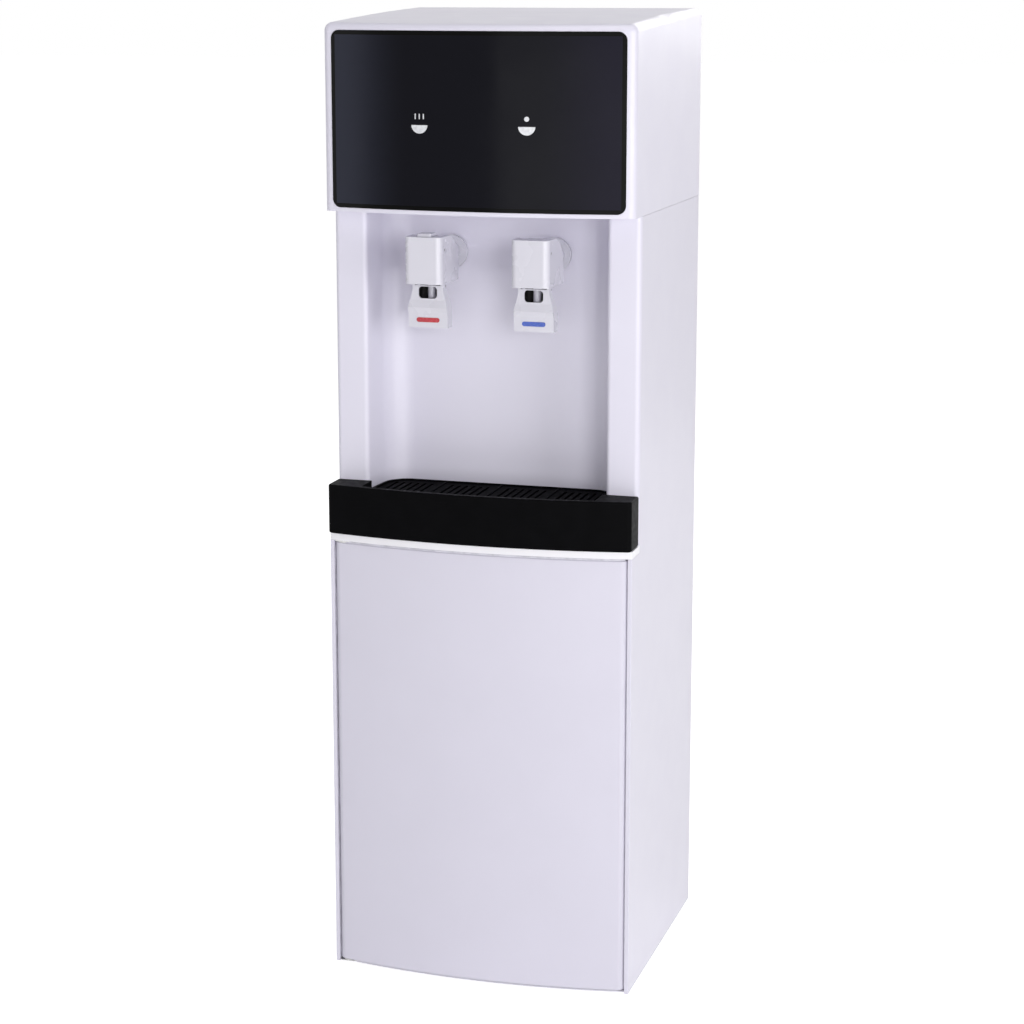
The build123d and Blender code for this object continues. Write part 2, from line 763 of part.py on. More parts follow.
def paddle_form(centre, inset):
    """The paddle: a shallow channel that widens towards its lower edge."""
    wide = paddle_half - inset
    narrow = arm_outer - inset
    front = paddle_front + inset
    ledge = 2.0
    with BuildPart() as form:
        with BuildSketch(Plane.YZ.offset(centre - paddle_half)):
            with BuildLine():
                Polyline(
                    (front, paddle_neck),
                    (front, paddle_ridge + 8),
                    (front - ledge, paddle_ridge),
                    (front, paddle_ridge - 6),
                    (front + 1, paddle_bottom),
                    (paddle_front + paddle_depth + inset, paddle_bottom),
                    (paddle_front + paddle_depth + inset, paddle_ridge + 8),
                    (paddle_front + paddle_depth / 2 + inset, paddle_neck),
                    close=True,
                )
            make_face()
        extrude(amount=2 * paddle_half)
        with BuildSketch(Plane.XZ.offset(-front_y - 40)):
            with BuildLine():
                Line((centre - wide, paddle_bottom), (centre + wide, paddle_bottom))
                Line((centre - wide, paddle_bottom), (centre - wide, paddle_bottom + 18))
                Line((centre + wide, paddle_bottom), (centre + wide, paddle_bottom + 18))
                Spline(
                    (centre - wide, paddle_bottom + 18),
                    (centre - narrow, paddle_neck),
                    tangents=((0, 1), (0, 1)),
                )
                Spline(
                    (centre + wide, paddle_bottom + 18),
                    (centre + narrow, paddle_neck),
                    tangents=((0, 1), (0, 1)),
                )
                Line((centre - narrow, paddle_neck), (centre + narrow, paddle_neck))
            make_face()
        extrude(amount=60, mode=Mode.INTERSECT)
    return form.part


mark_middle = paddle_bottom + mark_rise
mark_gap = 0.1


def mark_form(centre, grow):
    """The coloured inlay on a paddle's face, or its pocket when grown."""
    with BuildPart() as form:
        with BuildSketch(Plane.XZ.offset(-paddle_front - 6)):
            with Locations((centre, mark_middle)):
                SlotOverall(mark_width + 2 * grow, mark_height + 2 * grow)
        extrude(amount=8)
        add(paddle_form(centre, mark_sink), mode=Mode.SUBTRACT)
        add(paddle_form(centre, -mark_proud), mode=Mode.INTERSECT)
    return form.part


for tap_name, centre in tap_places.items():
    with BuildPart() as lever:
        add(paddle_form(centre, 0))
        add(paddle_form(centre, paddle_wall), mode=Mode.SUBTRACT)
        add(mark_form(centre, mark_gap), mode=Mode.SUBTRACT)
        for side in (-1, 1):
            with BuildSketch(Plane.YZ.offset(centre + side * arm_outer)):
                with BuildLine():
                    Polyline(
                        (pin_y - eye_radius, pin_z),
                        (pin_y + eye_radius, pin_z),
                        (paddle_front + 7, paddle_neck),
                        (paddle_front, paddle_neck),
                        close=True,
                    )
                make_face()
                with Locations((pin_y, pin_z)):
                    Circle(eye_radius)
                with Locations(((pin_y + fork_rear) / 2, pin_z)):
                    Rectangle(fork_rear - pin_y, fork_sheet)
                with Locations((pin_y, pin_z)):
                    Circle(lever_pin_radius + fit, mode=Mode.SUBTRACT)
            extrude(amount=-side * arm_sheet)
            prong = sorted((centre + side * arm_outer, centre + side * fork_slot))
            block(prong, (fork_front, fork_rear), (pin_z - fork_sheet / 2, pin_z + fork_sheet / 2))
        with BuildSketch(Plane.XZ.offset(-paddle_front - paddle_depth)):
            with Locations((centre, window_middle)):
                RectangleRounded(*paddle_window, 4)
        extrude(amount=paddle_depth + 5, mode=Mode.SUBTRACT)
    save(lever.part, tap_name + "_lever")

nut_flats = 15.0
nut_sheet = 7.0
with BuildPart() as tap_nuts:
    for centre in tap_places.values():
        with BuildSketch(Plane.XZ.offset(-recess_back)):
            with Locations((centre, tap_height)):
                RegularPolygon(nut_flats, 6, major_radius=False)
                Circle(shank_radius + fit, mode=Mode.SUBTRACT)
        extrude(amount=-nut_sheet)
save(tap_nuts.part, "tap_nuts")

for tap_name, centre in tap_places.items():
    with BuildPart() as mark:
        add(mark_form(centre, 0))
    save(mark.part, tap_name + "_mark")

latch_half = 8.0
latch_length = 20.0
latch_sheet = 3.0
with BuildPart() as hot_latch:
    latch_x = tap_places["hot"]
    latch_foot = hood_head + seam
    with BuildSketch(Plane.XY.offset(latch_foot)):
        with Locations((latch_x, front_y - 3 + latch_length / 2)):
            RectangleRounded(2 * latch_half, latch_length, 2)
    extrude(amount=latch_sheet)
    for step in range(4):
        groove_y = front_y + 1 + step * 3.5
        block(
            (latch_x - latch_half + 2, latch_x + latch_half - 2),
            (groove_y, groove_y + 1.2),
            (latch_foot + latch_sheet - 0.8, latch_foot + latch_sheet + 1),
            mode=Mode.SUBTRACT,
        )
    key_limits = (latch_key_front, latch_key_front + latch_key)
    block((latch_x - 1.7, latch_x + 1.7), key_limits, (hood_head - 3, latch_foot))
    block((latch_x - 5, latch_x + 5), key_limits, (hood_head - 4, hood_head - hood_wall - seam))
save(hot_latch.part, "hot_latch")

# ---------------------------------------------------------------------------
# Drip tray and grille
# ---------------------------------------------------------------------------

tray_wall = 2.5
tray_clearance = 1.0  # tray's rear part inside the recess
grille_sheet = 2.5
grille_seat = tray_rear_top - 1.5 - grille_sheet - seam
grille_ledge = 3.0
basin_floor = tray_bottom + tray_wall
rim_inset = 1.0  # inner edge of the front rim, behind the common bow
rim_half = recess_half - tray_clearance - tray_wall


def basin_form(foot, height, narrowing):
    """The tray's hollow: bowed in front, rounded like the recess behind."""
    with BuildPart() as form:
        extrude(recess_plan(foot, -tray_clearance - tray_wall - narrowing), amount=height)
        front_part = bowed_plan(foot, rim_half - narrowing, column_front, rim_inset + narrowing)
        extrude(front_part, amount=height)
    return form.part


with BuildPart() as drip_tray:
    band_rear = column_front - running_gap
    extrude(bowed_plan(tray_bottom, half_width, band_rear, -tray_proud, 5.0), amount=tray_height)
    fillet(drip_tray.faces().sort_by(Axis.Y)[0].edges().filter_by(lambda edge: edge.length > 200), radius=2)
    extrude(recess_plan(tray_bottom, -tray_clearance), amount=tray_rear_top - tray_bottom)
    add(basin_form(basin_floor, tray_height, grille_ledge), mode=Mode.SUBTRACT)
    add(basin_form(grille_seat, tray_height, 0), mode=Mode.SUBTRACT)
    for side in (-1, 1):
        pocket = sorted((side * (recess_half + 2), side * (half_width - 3)))
        block(
            pocket,
            (front_y - 1, band_rear - tray_wall),
            (tray_bottom, tray_top - tray_wall),
            mode=Mode.SUBTRACT,
        )
save(drip_tray.part, "drip_tray")

grille_gap = 0.6
grille_sections = 4
slots_per_section = 6
slot_width = 3.2
slot_length = 62.0
slot_pitch = 8.4
grille_foot = grille_seat + seam
section_pitch = 2 * (rim_half - grille_gap) / grille_sections
grille_rib = 3.0
grille_rib_rise = 1.2
finger_hole = (9.0, 5.0)
with BuildPart() as drip_grille:
    add(basin_form(grille_foot, grille_sheet, grille_gap))
    section_middles = [
        (index - (grille_sections - 1) / 2) * section_pitch
        for index in range(grille_sections)
    ]
    slot_places = [
        (middle + (number - (slots_per_section - 1) / 2) * slot_pitch, column_front + 20)
        for middle in section_middles
        for number in range(slots_per_section)
    ]
    with BuildSketch(Plane.XY.offset(grille_foot)):
        with Locations(*slot_places):
            SlotOverall(slot_length, slot_width, rotation=90)
    extrude(amount=grille_sheet, mode=Mode.SUBTRACT)
    rib_places = [(index - grille_sections / 2) * section_pitch for index in range(1, grille_sections)]
    for x in rib_places:
        rib_limits = (x - grille_rib / 2, x + grille_rib / 2)
        rib_top = grille_foot + grille_sheet + grille_rib_rise
        block(rib_limits, (front_y - 4, recess_wall - 6), (grille_foot + grille_sheet, rib_top))
    with BuildSketch(Plane.XY.offset(grille_foot)):
        with Locations(*[(x + grille_rib + finger_hole[0] / 2, front_y - 3) for x in rib_places]):
            SlotOverall(*finger_hole)
    extrude(amount=grille_sheet + 5, mode=Mode.SUBTRACT)
save(drip_grille.part, "drip_grille")

# ---------------------------------------------------------------------------
# Door
# ---------------------------------------------------------------------------

door_rear = front_y + door_depth
liner_sheet = 2.0
hinge_x = -door_half + hinge_inset
hinge_y = front_y + hinge_setback
bush_radius = hinge_pin_radius + bush_wall
bush_flange = 1.0
bush_flange_radius = 6.0
boss_height = pin_length + 4
liner_boss_radius = 5.0
liner_levels = (door_bottom + 40, (door_bottom + door_top) / 2, door_top - 40)
liner_places = [(sx * (door_half - 14), z) for sx in (-1, 1) for z in liner_levels]
with BuildPart() as door_skin:
    extrude(bowed_plan(door_bottom, door_half, door_rear, 0, door_round), amount=door_height)
    bow_edges = (
        door_skin.faces()
        .filter_by(Axis.Z)
        .edges()
        .filter_by(GeomType.CIRCLE)
        .filter_by(lambda edge: edge.length > 100)
    )
    fillet(bow_edges, radius=1.5)
    with BuildPart(mode=Mode.PRIVATE) as door_hollow:
        hollow_foot = door_bottom + thin_wall
        hollow_half = door_half - thin_wall
        hollow_round = door_round - thin_wall
        hollow_plan = bowed_plan(hollow_foot, hollow_half, door_rear + 1, thin_wall, hollow_round)
        extrude(hollow_plan, amount=door_height - 2 * thin_wall)
        for z_limits in ((door_bottom, door_bottom + boss_height), (door_top - boss_height, door_top)):
            block(
                (-door_half, hinge_x + bush_radius + 2),
                (front_y - 20, hinge_y + bush_radius + 4),
                z_limits,
                mode=Mode.SUBTRACT,
            )
        with BuildSketch(Plane.XZ.offset(-door_rear + liner_sheet)):
            with Locations(*liner_places):
                Circle(liner_boss_radius)
        extrude(amount=60, mode=Mode.SUBTRACT)
    add(door_hollow.part, mode=Mode.SUBTRACT)
    rod((hinge_x, hinge_y, door_bottom), (0, 0, 1), bush_radius, pin_length + 1, mode=Mode.SUBTRACT)
    rod((hinge_x, hinge_y, door_top), (0, 0, -1), bush_radius, pin_length + 1, mode=Mode.SUBTRACT)
save(door_skin.part, "door_skin")

with BuildPart() as door_liner:
    with BuildSketch(Plane.XZ.offset(-door_rear)):
        with Locations((0, (door_bottom + door_top) / 2)):
            Rectangle(2 * (door_half - thin_wall - seam), door_height - 2 * (thin_wall + seam))
        with Locations(*liner_places):
            Circle(1.8, mode=Mode.SUBTRACT)
    extrude(amount=liner_sheet)
    corner_edges = door_liner.edges().filter_by(Axis.Y)
    fillet(corner_edges.filter_by(lambda edge: abs(edge.center().X) > door_half - 5), radius=3)
save(door_liner.part, "door_liner")

with BuildPart() as liner_screws:
    for x, z in liner_places:
        rod((x, door_rear, z), (0, 1, 0), 3.2, 1.6)
        rod((x, door_rear, z), (0, -1, 0), 1.7, liner_sheet)
save(liner_screws.part, "liner_screws")

with BuildPart() as hinge_bushes:
    for end, way in ((door_bottom, 1), (door_top, -1)):
        bush_end = (hinge_x, hinge_y, end - way * bush_flange)
        rod((hinge_x, hinge_y, end), (0, 0, way), bush_radius - fit, pin_length)
        rod(bush_end, (0, 0, way), bush_flange_radius, bush_flange)
        rod(bush_end, (0, 0, way), hinge_pin_radius + fit, 2 * pin_length, mode=Mode.SUBTRACT)
save(hinge_bushes.part, "hinge_bushes")

hinge_sheet = door_lift - deck_sheet - bush_flange - seam
hinge_width = 20.0
hinge_length = 46.0
with BuildPart() as hinge_plates:
    for plate_z, way in ((floor_top, 1), (shelf_bottom, -1)):
        pin_start = plate_z + way * hinge_sheet
        with BuildSketch(Plane.XY.offset(plate_z)):
            with Locations((hinge_x, hinge_y - 6 + hinge_length / 2)):
                RectangleRounded(hinge_width, hinge_length, 4)
            with Locations((hinge_x, hinge_y + 22), (hinge_x, hinge_y + 34)):
                Circle(2.1, mode=Mode.SUBTRACT)
        extrude(amount=way * hinge_sheet)
        rod((hinge_x, hinge_y, pin_start), (0, 0, way), hinge_pin_radius, pin_length)
save(hinge_plates.part, "hinge_plates")

catch_x = door_half - catch_inset
catch_width = 34.0
catch_height = 14.0
strike_sheet = 1.2
strike_z = door_top - thin_wall - 14
with BuildPart() as door_strike:
    with BuildSketch(Plane.XZ.offset(-door_rear - strike_sheet)):
        with Locations((catch_x - 16, strike_z)):
            RectangleRounded(catch_width, catch_height, 2)
    extrude(amount=strike_sheet)
save(door_strike.part, "door_strike")

magnet_front = door_rear + strike_sheet + seam
with BuildPart() as door_magnet:
    block(
        (catch_x - 16 - catch_width / 2, catch_x - 16 + catch_width / 2),
        (magnet_front, magnet_front + 10),
        (strike_z - catch_height / 2, shelf_bottom),
    )
    fillet(door_magnet.edges().filter_by(Axis.Y).group_by(Axis.Z)[0], radius=2)
save(door_magnet.part, "door_magnet")

# ---------------------------------------------------------------------------
# Bottle bay: guides, suction probe and its hose
# ---------------------------------------------------------------------------

bottle_radius = 135.0
guide_height = 18.0
guide_sheet = 7.0
guide_length = 190.0
bottle_y = front_y + door_depth + 4 + bottle_radius
with BuildPart() as bottle_guides:
    for side in (-1, 1):
        with BuildSketch(Plane.XZ.offset(-bottle_y - guide_length / 2)):
            with BuildLine():
                Polyline(
                    (side * (bottle_radius + 2), floor_top),
                    (side * (bottle_radius + 2 + guide_sheet), floor_top),
                    (side * (bottle_radius + 2 + guide_sheet), floor_top + guide_height),
                    (side * (bottle_radius + 5), floor_top + guide_height),
                    close=True,
                )
            make_face()
        extrude(amount=guide_length)
save(bottle_guides.part, "bottle_guides")

probe_x = 32.5 - half_width
probe_radius = 9.0
cap_radius = 28.0
cap_height = 32.0
cap_wall = 2.5
cap_foot = door_top - 68.0
cap_top = cap_foot + cap_height
probe_y = side_rear - cap_radius - 4
probe_tip = floor_top + 9
nipple_radius = 4.0
nipple_z = cap_top + 11
nipple_reach = 24.0
with BuildPart() as suction_probe:
    rod((probe_x, probe_y, probe_tip), (0, 0, 1), probe_radius, cap_top - cap_wall - probe_tip)
    rod((probe_x, probe_y, probe_tip - 1), (0, 0, 1), probe_radius - 1.8, cap_top, mode=Mode.SUBTRACT)
    for height in (0, 14, 28):
        with Locations((probe_x, probe_y, probe_tip + 8 + height)):
            Cylinder(3, 40, rotation=(0, 90, 0), mode=Mode.SUBTRACT)
save(suction_probe.part, "suction_probe")

with BuildPart() as probe_cap:
    with BuildSketch(Plane.XZ.offset(-probe_y)):
        with BuildLine():
            Polyline(
                (probe_x, cap_top - cap_wall),
                (probe_x + cap_radius - cap_wall, cap_top - cap_wall),
                (probe_x + cap_radius - cap_wall, cap_foot),
                (probe_x + cap_radius, cap_foot),
                (probe_x + cap_radius, cap_top - 4),
                (probe_x + cap_radius - 4, cap_top),
                (probe_x + 12, cap_top),
                (probe_x + 12, nipple_z + 8),
                (probe_x, nipple_z + 8),
                close=True,
            )
        make_face()
    revolve(axis=Axis((probe_x, probe_y, 0), (0, 0, 1)))
    rod((probe_x, probe_y, nipple_z), (0, -1, 0), nipple_radius, nipple_reach)
save(probe_cap.part, "probe_cap")

clip_z = cap_foot - 132.0
clip_height = 14.0
clip_wall = 2.0
clip_mouth = 12.0
with BuildPart() as probe_clip:
    with BuildSketch(Plane.XY.offset(clip_z)):
        with Locations((probe_x, probe_y)):
            Circle(probe_radius + 2 * fit + clip_wall)
        with Locations((probe_x, (probe_y + side_rear) / 2)):
            Rectangle(6, side_rear - probe_y)
        with Locations((probe_x, side_rear - 1)):
            Rectangle(26, 2)
        with Locations((probe_x, probe_y)):
            Circle(probe_radius + 2 * fit, mode=Mode.SUBTRACT)
        with Locations((probe_x, probe_y - probe_radius - 2)):
            Rectangle(clip_mouth, 8, mode=Mode.SUBTRACT)
    extrude(amount=clip_height)
save(probe_clip.part, "probe_clip")

pump_x = 57.5 - half_width
pump_front = front_y + 200.0
pump_motor_radius = 22.0
pump_axis_z = deck_top + 34
pump_head_length = 25.0
pump_motor_length = 62.0
pump_port_pitch = 24.0
pump_port_reach = 10.0
port_front = pump_front - pump_port_reach
inlet_port_x = pump_x - pump_port_pitch / 2
outlet_port_x = pump_x + pump_port_pitch / 2
with BuildPart() as water_pump:
    with BuildSketch(Plane.XZ.offset(-pump_front - pump_head_length)):
        with Locations((pump_x, pump_axis_z)):
            RectangleRounded(50, 46, 6)
    extrude(amount=pump_head_length)
    rod((pump_x, pump_front + pump_head_length, pump_axis_z), (0, 1, 0), pump_motor_radius, pump_motor_length)
    for x in (inlet_port_x, outlet_port_x):
        rod((x, pump_front, pump_axis_z), (0, -1, 0), nipple_radius, pump_port_reach)
save(water_pump.part, "water_pump")

with BuildPart() as pump_bracket:
    saddle_front = pump_front + pump_head_length + 4
    block((pump_x - 20, pump_x + 20), (saddle_front, saddle_front + 46), (deck_top, pump_axis_z - 10))
    rod((pump_x, saddle_front - 1, pump_axis_z), (0, 1, 0), pump_motor_radius + fit, 50, mode=Mode.SUBTRACT)
    for side in (-1, 1):
        block(
            sorted((pump_x + side * 20, pump_x + side * 30)),
            (saddle_front + 13, saddle_front + 33),
            (deck_top, deck_top + 3),
        )
save(pump_bracket.part, "pump_bracket")

# The hose hangs in a slack loop beside the bottle, so that the probe reaches the bottle's neck.
hose_start_y = probe_y - nipple_reach
probe_hose_route = [
    (probe_x, hose_start_y, nipple_z),
    (probe_x, hose_start_y - 28, nipple_z),
    (probe_x - 11, hose_start_y - 52, nipple_z - 20),
    (probe_x - 17, hose_start_y - 62, nipple_z - 54),
    (probe_x - 18, hose_start_y - 64, nipple_z - 98),
    (probe_x - 18, hose_start_y - 80, nipple_z - 136),
    (probe_x - 18, hose_start_y - 109, nipple_z - 146),
    (probe_x - 18, hose_start_y - 136, nipple_z - 130),
    (probe_x - 18, hose_start_y - 147, nipple_z - 92),
    (hose_hole_x - 1, hose_hole_y - 8, nipple_z - 48),
    (hose_hole_x, hose_hole_y, nipple_z - 5),
    (hose_hole_x, hose_hole_y, pump_axis_z),
    (inlet_port_x, port_front - 16, pump_axis_z),
    (inlet_port_x, port_front, pump_axis_z),
]
with BuildPart() as probe_hose:
    add(bent_tube("probe_hose", probe_hose_route, hose_radius))
save(probe_hose.part, "probe_hose")

# ---------------------------------------------------------------------------
# Compressor
# ---------------------------------------------------------------------------

grommet_radius = 11.0
with BuildPart() as compressor:
    with BuildSketch(Plane.XY.offset(compressor_plate_z)):
        with Locations((compressor_offset, compressor_y)):
            RectangleRounded(bolt_span_x + 30, bolt_span_y + 30, 12)
        with Locations(*bolt_places):
            Circle(5.2, mode=Mode.SUBTRACT)
    extrude(amount=compressor_plate)
    with BuildSketch(Plane.XZ.offset(-compressor_y)):
        with BuildLine():
            foot_line = Polyline(
                (compressor_offset, shell_foot),
                (compressor_offset + 40, shell_foot),
                (compressor_offset + 48, shell_foot + 6),
            )
            lower = Spline(
                foot_line @ 1,
                (compressor_offset + compressor_radius - 4, shell_seam - 4),
                tangents=((1, 0.6), (0, 1)),
            )
            band = Polyline(
                lower @ 1,
                (compressor_offset + compressor_radius, shell_seam - 4),
                (compressor_offset + compressor_radius, shell_seam + 4),
                (compressor_offset + compressor_radius - 5, shell_seam + 4),
            )
            dome = Spline(
                band @ 1,
                (compressor_offset, shell_foot + compressor_height),
                tangents=((0, 1), (-1, 0)),
            )
            Line(dome @ 1, (compressor_offset, shell_foot))
        make_face()
    revolve(axis=Axis((compressor_offset, compressor_y, 0), (0, 0, 1)))
    with BuildPart(mode=Mode.PRIVATE) as shell_hollow:
        hollow_base = (compressor_offset, compressor_y, shell_foot + compressor_shell)
        rod(hollow_base, (0, 0, 1), 0.77 * compressor_radius, compressor_height - 4 * compressor_shell)
        fillet(shell_hollow.edges().filter_by(GeomType.CIRCLE), radius=compressor_round)
        rod(hollow_base, (0, 0, 1), motor_radius, motor_height, mode=Mode.SUBTRACT)
    add(shell_hollow.part, mode=Mode.SUBTRACT)
    for side in (-1, 1):
        with BuildPart(mode=Mode.PRIVATE) as stub:
            stub_start = (compressor_offset + side * (compressor_radius - 6), compressor_y, stub_z)
            rod(stub_start, (side, 0, 0), pipe_radius, 14)
        add(stub.part)
    block(
        (compressor_offset - 22, compressor_offset + 22),
        (compressor_y - compressor_radius - 12, compressor_y - compressor_radius + 8),
        (shell_foot + 30, shell_foot + 66),
    )
save(compressor.part, "compressor")

with BuildPart() as rubber_seals:
    for centre in tap_places.values():
        rod((centre, recess_wall - gasket_sheet, tap_height), (0, 1, 0), flange_radius - 1, gasket_sheet)
        rod((centre, recess_wall - 5, tap_height), (0, 1, 0), shank_radius + fit, 10, mode=Mode.SUBTRACT)
    hose_hole = (hose_hole_x, hose_hole_y, deck_bottom - 2)
    rod(hose_hole, (0, 0, 1), hose_radius + 5, 2 + deck_sheet + 2)
    rod(hose_hole, (0, 0, 1), hose_radius + fit, 20, mode=Mode.SUBTRACT)
    with BuildSketch(Plane.XY.offset(deck_bottom)):
        with Locations((hose_hole_x, hose_hole_y)):
            Circle(hose_radius + 6)
            Circle(hose_radius + 3 - fit, mode=Mode.SUBTRACT)
    extrude(amount=deck_sheet, mode=Mode.SUBTRACT)
    for x, y in bolt_places:
        rod((x, y, deck_top), (0, 0, 1), grommet_radius, grommet_height)
        rod((x, y, compressor_plate_z), (0, 0, 1), 5.1, compressor_plate)
        rod((x, y, compressor_plate_z + compressor_plate), (0, 0, 1), 8, 2.5)
        rod((x, y, deck_bottom - 1), (0, 0, 1), 3.1, 40, mode=Mode.SUBTRACT)
save(rubber_seals.part, "rubber_seals")

with BuildPart() as cabinet_screws:
    for side in (-1, 1):
        for z in screw_rows:
            place = (side * (half_width - screw_inset), rear_face, z)
            rod(place, (0, 1, 0), 4.0, 2.2)
            rod(place, (0, -1, 0), 2.0, 6.0)
    for x, y in bolt_places:
        bolt_seat = compressor_plate_z + compressor_plate + 2.5
        rod((x, y, deck_bottom - 5), (0, 0, 1), 3.0, bolt_seat + 5 - deck_bottom)
        with BuildSketch(Plane.XY.offset(bolt_seat)):
            with Locations((x, y)):
                RegularPolygon(5.5, 6, major_radius=False)
        extrude(amount=4)
        with BuildSketch(Plane.XY.offset(deck_bottom - 5)):
            with Locations((x, y)):
                RegularPolygon(5.5, 6, major_radius=False)
        extrude(amount=5)
save(cabinet_screws.part, "cabinet_screws")

# ---------------------------------------------------------------------------
# Tanks
# ---------------------------------------------------------------------------

foam_foot = tank_shelf_top
cold_foot = foam_foot + foam_wall
cold_top = cold_foot + cold_tank_height
foam_top = cold_top + foam_wall
coil_depth = 7.0
stub_radius = 7.0
tank_sheet = 1.5
with BuildPart() as cold_tank:
    rod((cold_x, tank_y, cold_foot), (0, 0, 1), cold_tank_radius, cold_tank_height)
    cold_cavity = cold_tank_radius - tank_sheet
    rod((cold_x, tank_y, cold_foot + 2), (0, 0, 1), cold_cavity, cold_tank_height, mode=Mode.SUBTRACT)
    rod((cold_x, tank_y, tap_height), (0, -1, 0), stub_radius, tank_y - shank_end)
    rod((cold_x, tank_y, cold_foot + 20), (-1, 0, 0), stub_radius, foam_radius)
    rod((cold_x, tank_y, cold_foot + 2), (0, 0, 1), cold_cavity, cold_tank_height, mode=Mode.SUBTRACT)
    rod((cold_x, tank_y, tap_height), (0, -1, 0), waterway_radius, 120, mode=Mode.SUBTRACT)
    rod((cold_x, tank_y, cold_foot + 20), (-1, 0, 0), waterway_radius, foam_radius + 1, mode=Mode.SUBTRACT)
save(cold_tank.part, "cold_tank")

coil_foot = cold_foot + 32
coil_turns = 5
coil_pitch = 10.0
with BuildPart() as foam_jacket:
    rod((cold_x, tank_y, foam_foot), (0, 0, 1), foam_radius, foam_top - foam_wall - foam_foot)
    rod(
        (cold_x, tank_y, cold_foot),
        (0, 0, 1),
        cold_tank_radius + seam,
        cold_tank_height + foam_wall,
        mode=Mode.SUBTRACT,
    )
    rod(
        (cold_x, tank_y, coil_foot - seam),
        (0, 0, 1),
        cold_tank_radius + coil_depth + seam,
        cold_top - coil_foot + 2 * seam,
        mode=Mode.SUBTRACT,
    )
    rod((cold_x, tank_y, tap_height), (0, -1, 0), stub_radius + seam, 120, mode=Mode.SUBTRACT)
    rod((cold_x, tank_y, cold_foot + 20), (-1, 0, 0), stub_radius + seam, 120, mode=Mode.SUBTRACT)
save(foam_jacket.part, "foam_jacket")

lid_port_x = cold_x - 40
lid_port_y = tank_y - 30
lid_port_rise = 10.0
with BuildPart() as foam_lid:
    rod((cold_x, tank_y, cold_top), (0, 0, 1), foam_radius, foam_wall)
    rod((cold_x, tank_y, cold_top - 8), (0, 0, 1), cold_tank_radius - 2, 8)
    rod((lid_port_x, lid_port_y, cold_top + foam_wall), (0, 0, 1), nipple_radius, lid_port_rise)
save(foam_lid.part, "foam_lid")

hot_foot_height = 10.0
hot_foot = tank_shelf_top + hot_foot_height
hot_top = hot_foot + hot_tank_height
hot_nipple = 10.0
hot_tank_round = 8.0
hot_drain_z = tank_shelf_height - 6
feed_z = cold_foot + 20
with BuildPart() as hot_tank:
    rod((hot_tank_offset, tank_y, hot_foot), (0, 0, 1), hot_tank_radius, hot_tank_height)
    fillet(hot_tank.edges().filter_by(GeomType.CIRCLE), radius=hot_tank_round)
    for angle in (90, 210, 330):
        foot_x = hot_tank_offset + 36 * math.cos(math.radians(angle))
        foot_y = tank_y + 36 * math.sin(math.radians(angle))
        rod((foot_x, foot_y, tank_shelf_top), (0, 0, 1), 5, hot_foot_height + 2)
    rod((hot_tank_offset, tank_y, hot_top - 1), (0, 0, 1), hose_radius, hot_nipple + 1)
    rod((hot_tank_offset, tank_y, hot_drain_z), (0, 0, 1), hose_radius, hot_foot - hot_drain_z + 1)
    rod((hot_tank_offset, tank_y, feed_z), (1, 0, 0), stub_radius, hot_tank_radius + 6)
    with BuildPart(mode=Mode.PRIVATE) as hot_water:
        cavity_base = (hot_tank_offset, tank_y, hot_foot + tank_sheet)
        rod(cavity_base, (0, 0, 1), hot_tank_radius - tank_sheet, hot_tank_height - 2 * tank_sheet)
        fillet(hot_water.edges().filter_by(GeomType.CIRCLE), radius=hot_tank_round - tank_sheet)
        through_run = hot_top + hot_nipple - hot_drain_z + 2
        rod((hot_tank_offset, tank_y, hot_drain_z - 1), (0, 0, 1), hose_radius - hose_wall, through_run)
        rod((hot_tank_offset, tank_y, feed_z), (1, 0, 0), waterway_radius, hot_tank_radius + 7)
    add(hot_water.part, mode=Mode.SUBTRACT)
save(hot_tank.part, "hot_tank")

band_foot = hot_foot + 62
band_height = 30.0
band_sheet = 4.0
with BuildPart() as heater_band:
    band_radius = hot_tank_radius + fit
    rod((hot_tank_offset, tank_y, band_foot), (0, 0, 1), band_radius + band_sheet, band_height)
    rod((hot_tank_offset, tank_y, band_foot - 1), (0, 0, 1), band_radius, band_height + 2, mode=Mode.SUBTRACT)
    block(
        (hot_tank_offset - 2, hot_tank_offset + 2),
        (tank_y - hot_tank_radius - 8, tank_y - hot_tank_radius + 4),
        (band_foot - 1, band_foot + band_height + 1),
        mode=Mode.SUBTRACT,
    )
    for step in (-1, 1):
        rod((hot_tank_offset + step * 24, tank_y, hot_top), (0, 0, 1), 8, 6)
        rod((hot_tank_offset + step * 24, tank_y, hot_top + 6), (0, 0, 1), 5.5, 4)
save(heater_band.part, "heater_band")

feed_start = hot_tank_offset + hot_tank_radius + 6
feed_end = cold_x - foam_radius

hot_x = tap_places["hot"]
hot_pipe_top = hot_top + 44
hot_water_route = [
    (hot_x, shank_end, tap_height),
    (hot_x, shank_end + 22, tap_height),
    (hot_x - 3, shank_end + 36, tap_height + 24),
    (hot_x - 12, shank_end + 50, hot_pipe_top - 12),
    (hot_x - 28, shank_end + 72, hot_pipe_top),
    (hot_tank_offset, tank_y, hot_pipe_top - 6),
    (hot_tank_offset, tank_y, hot_top + hot_nipple),
]

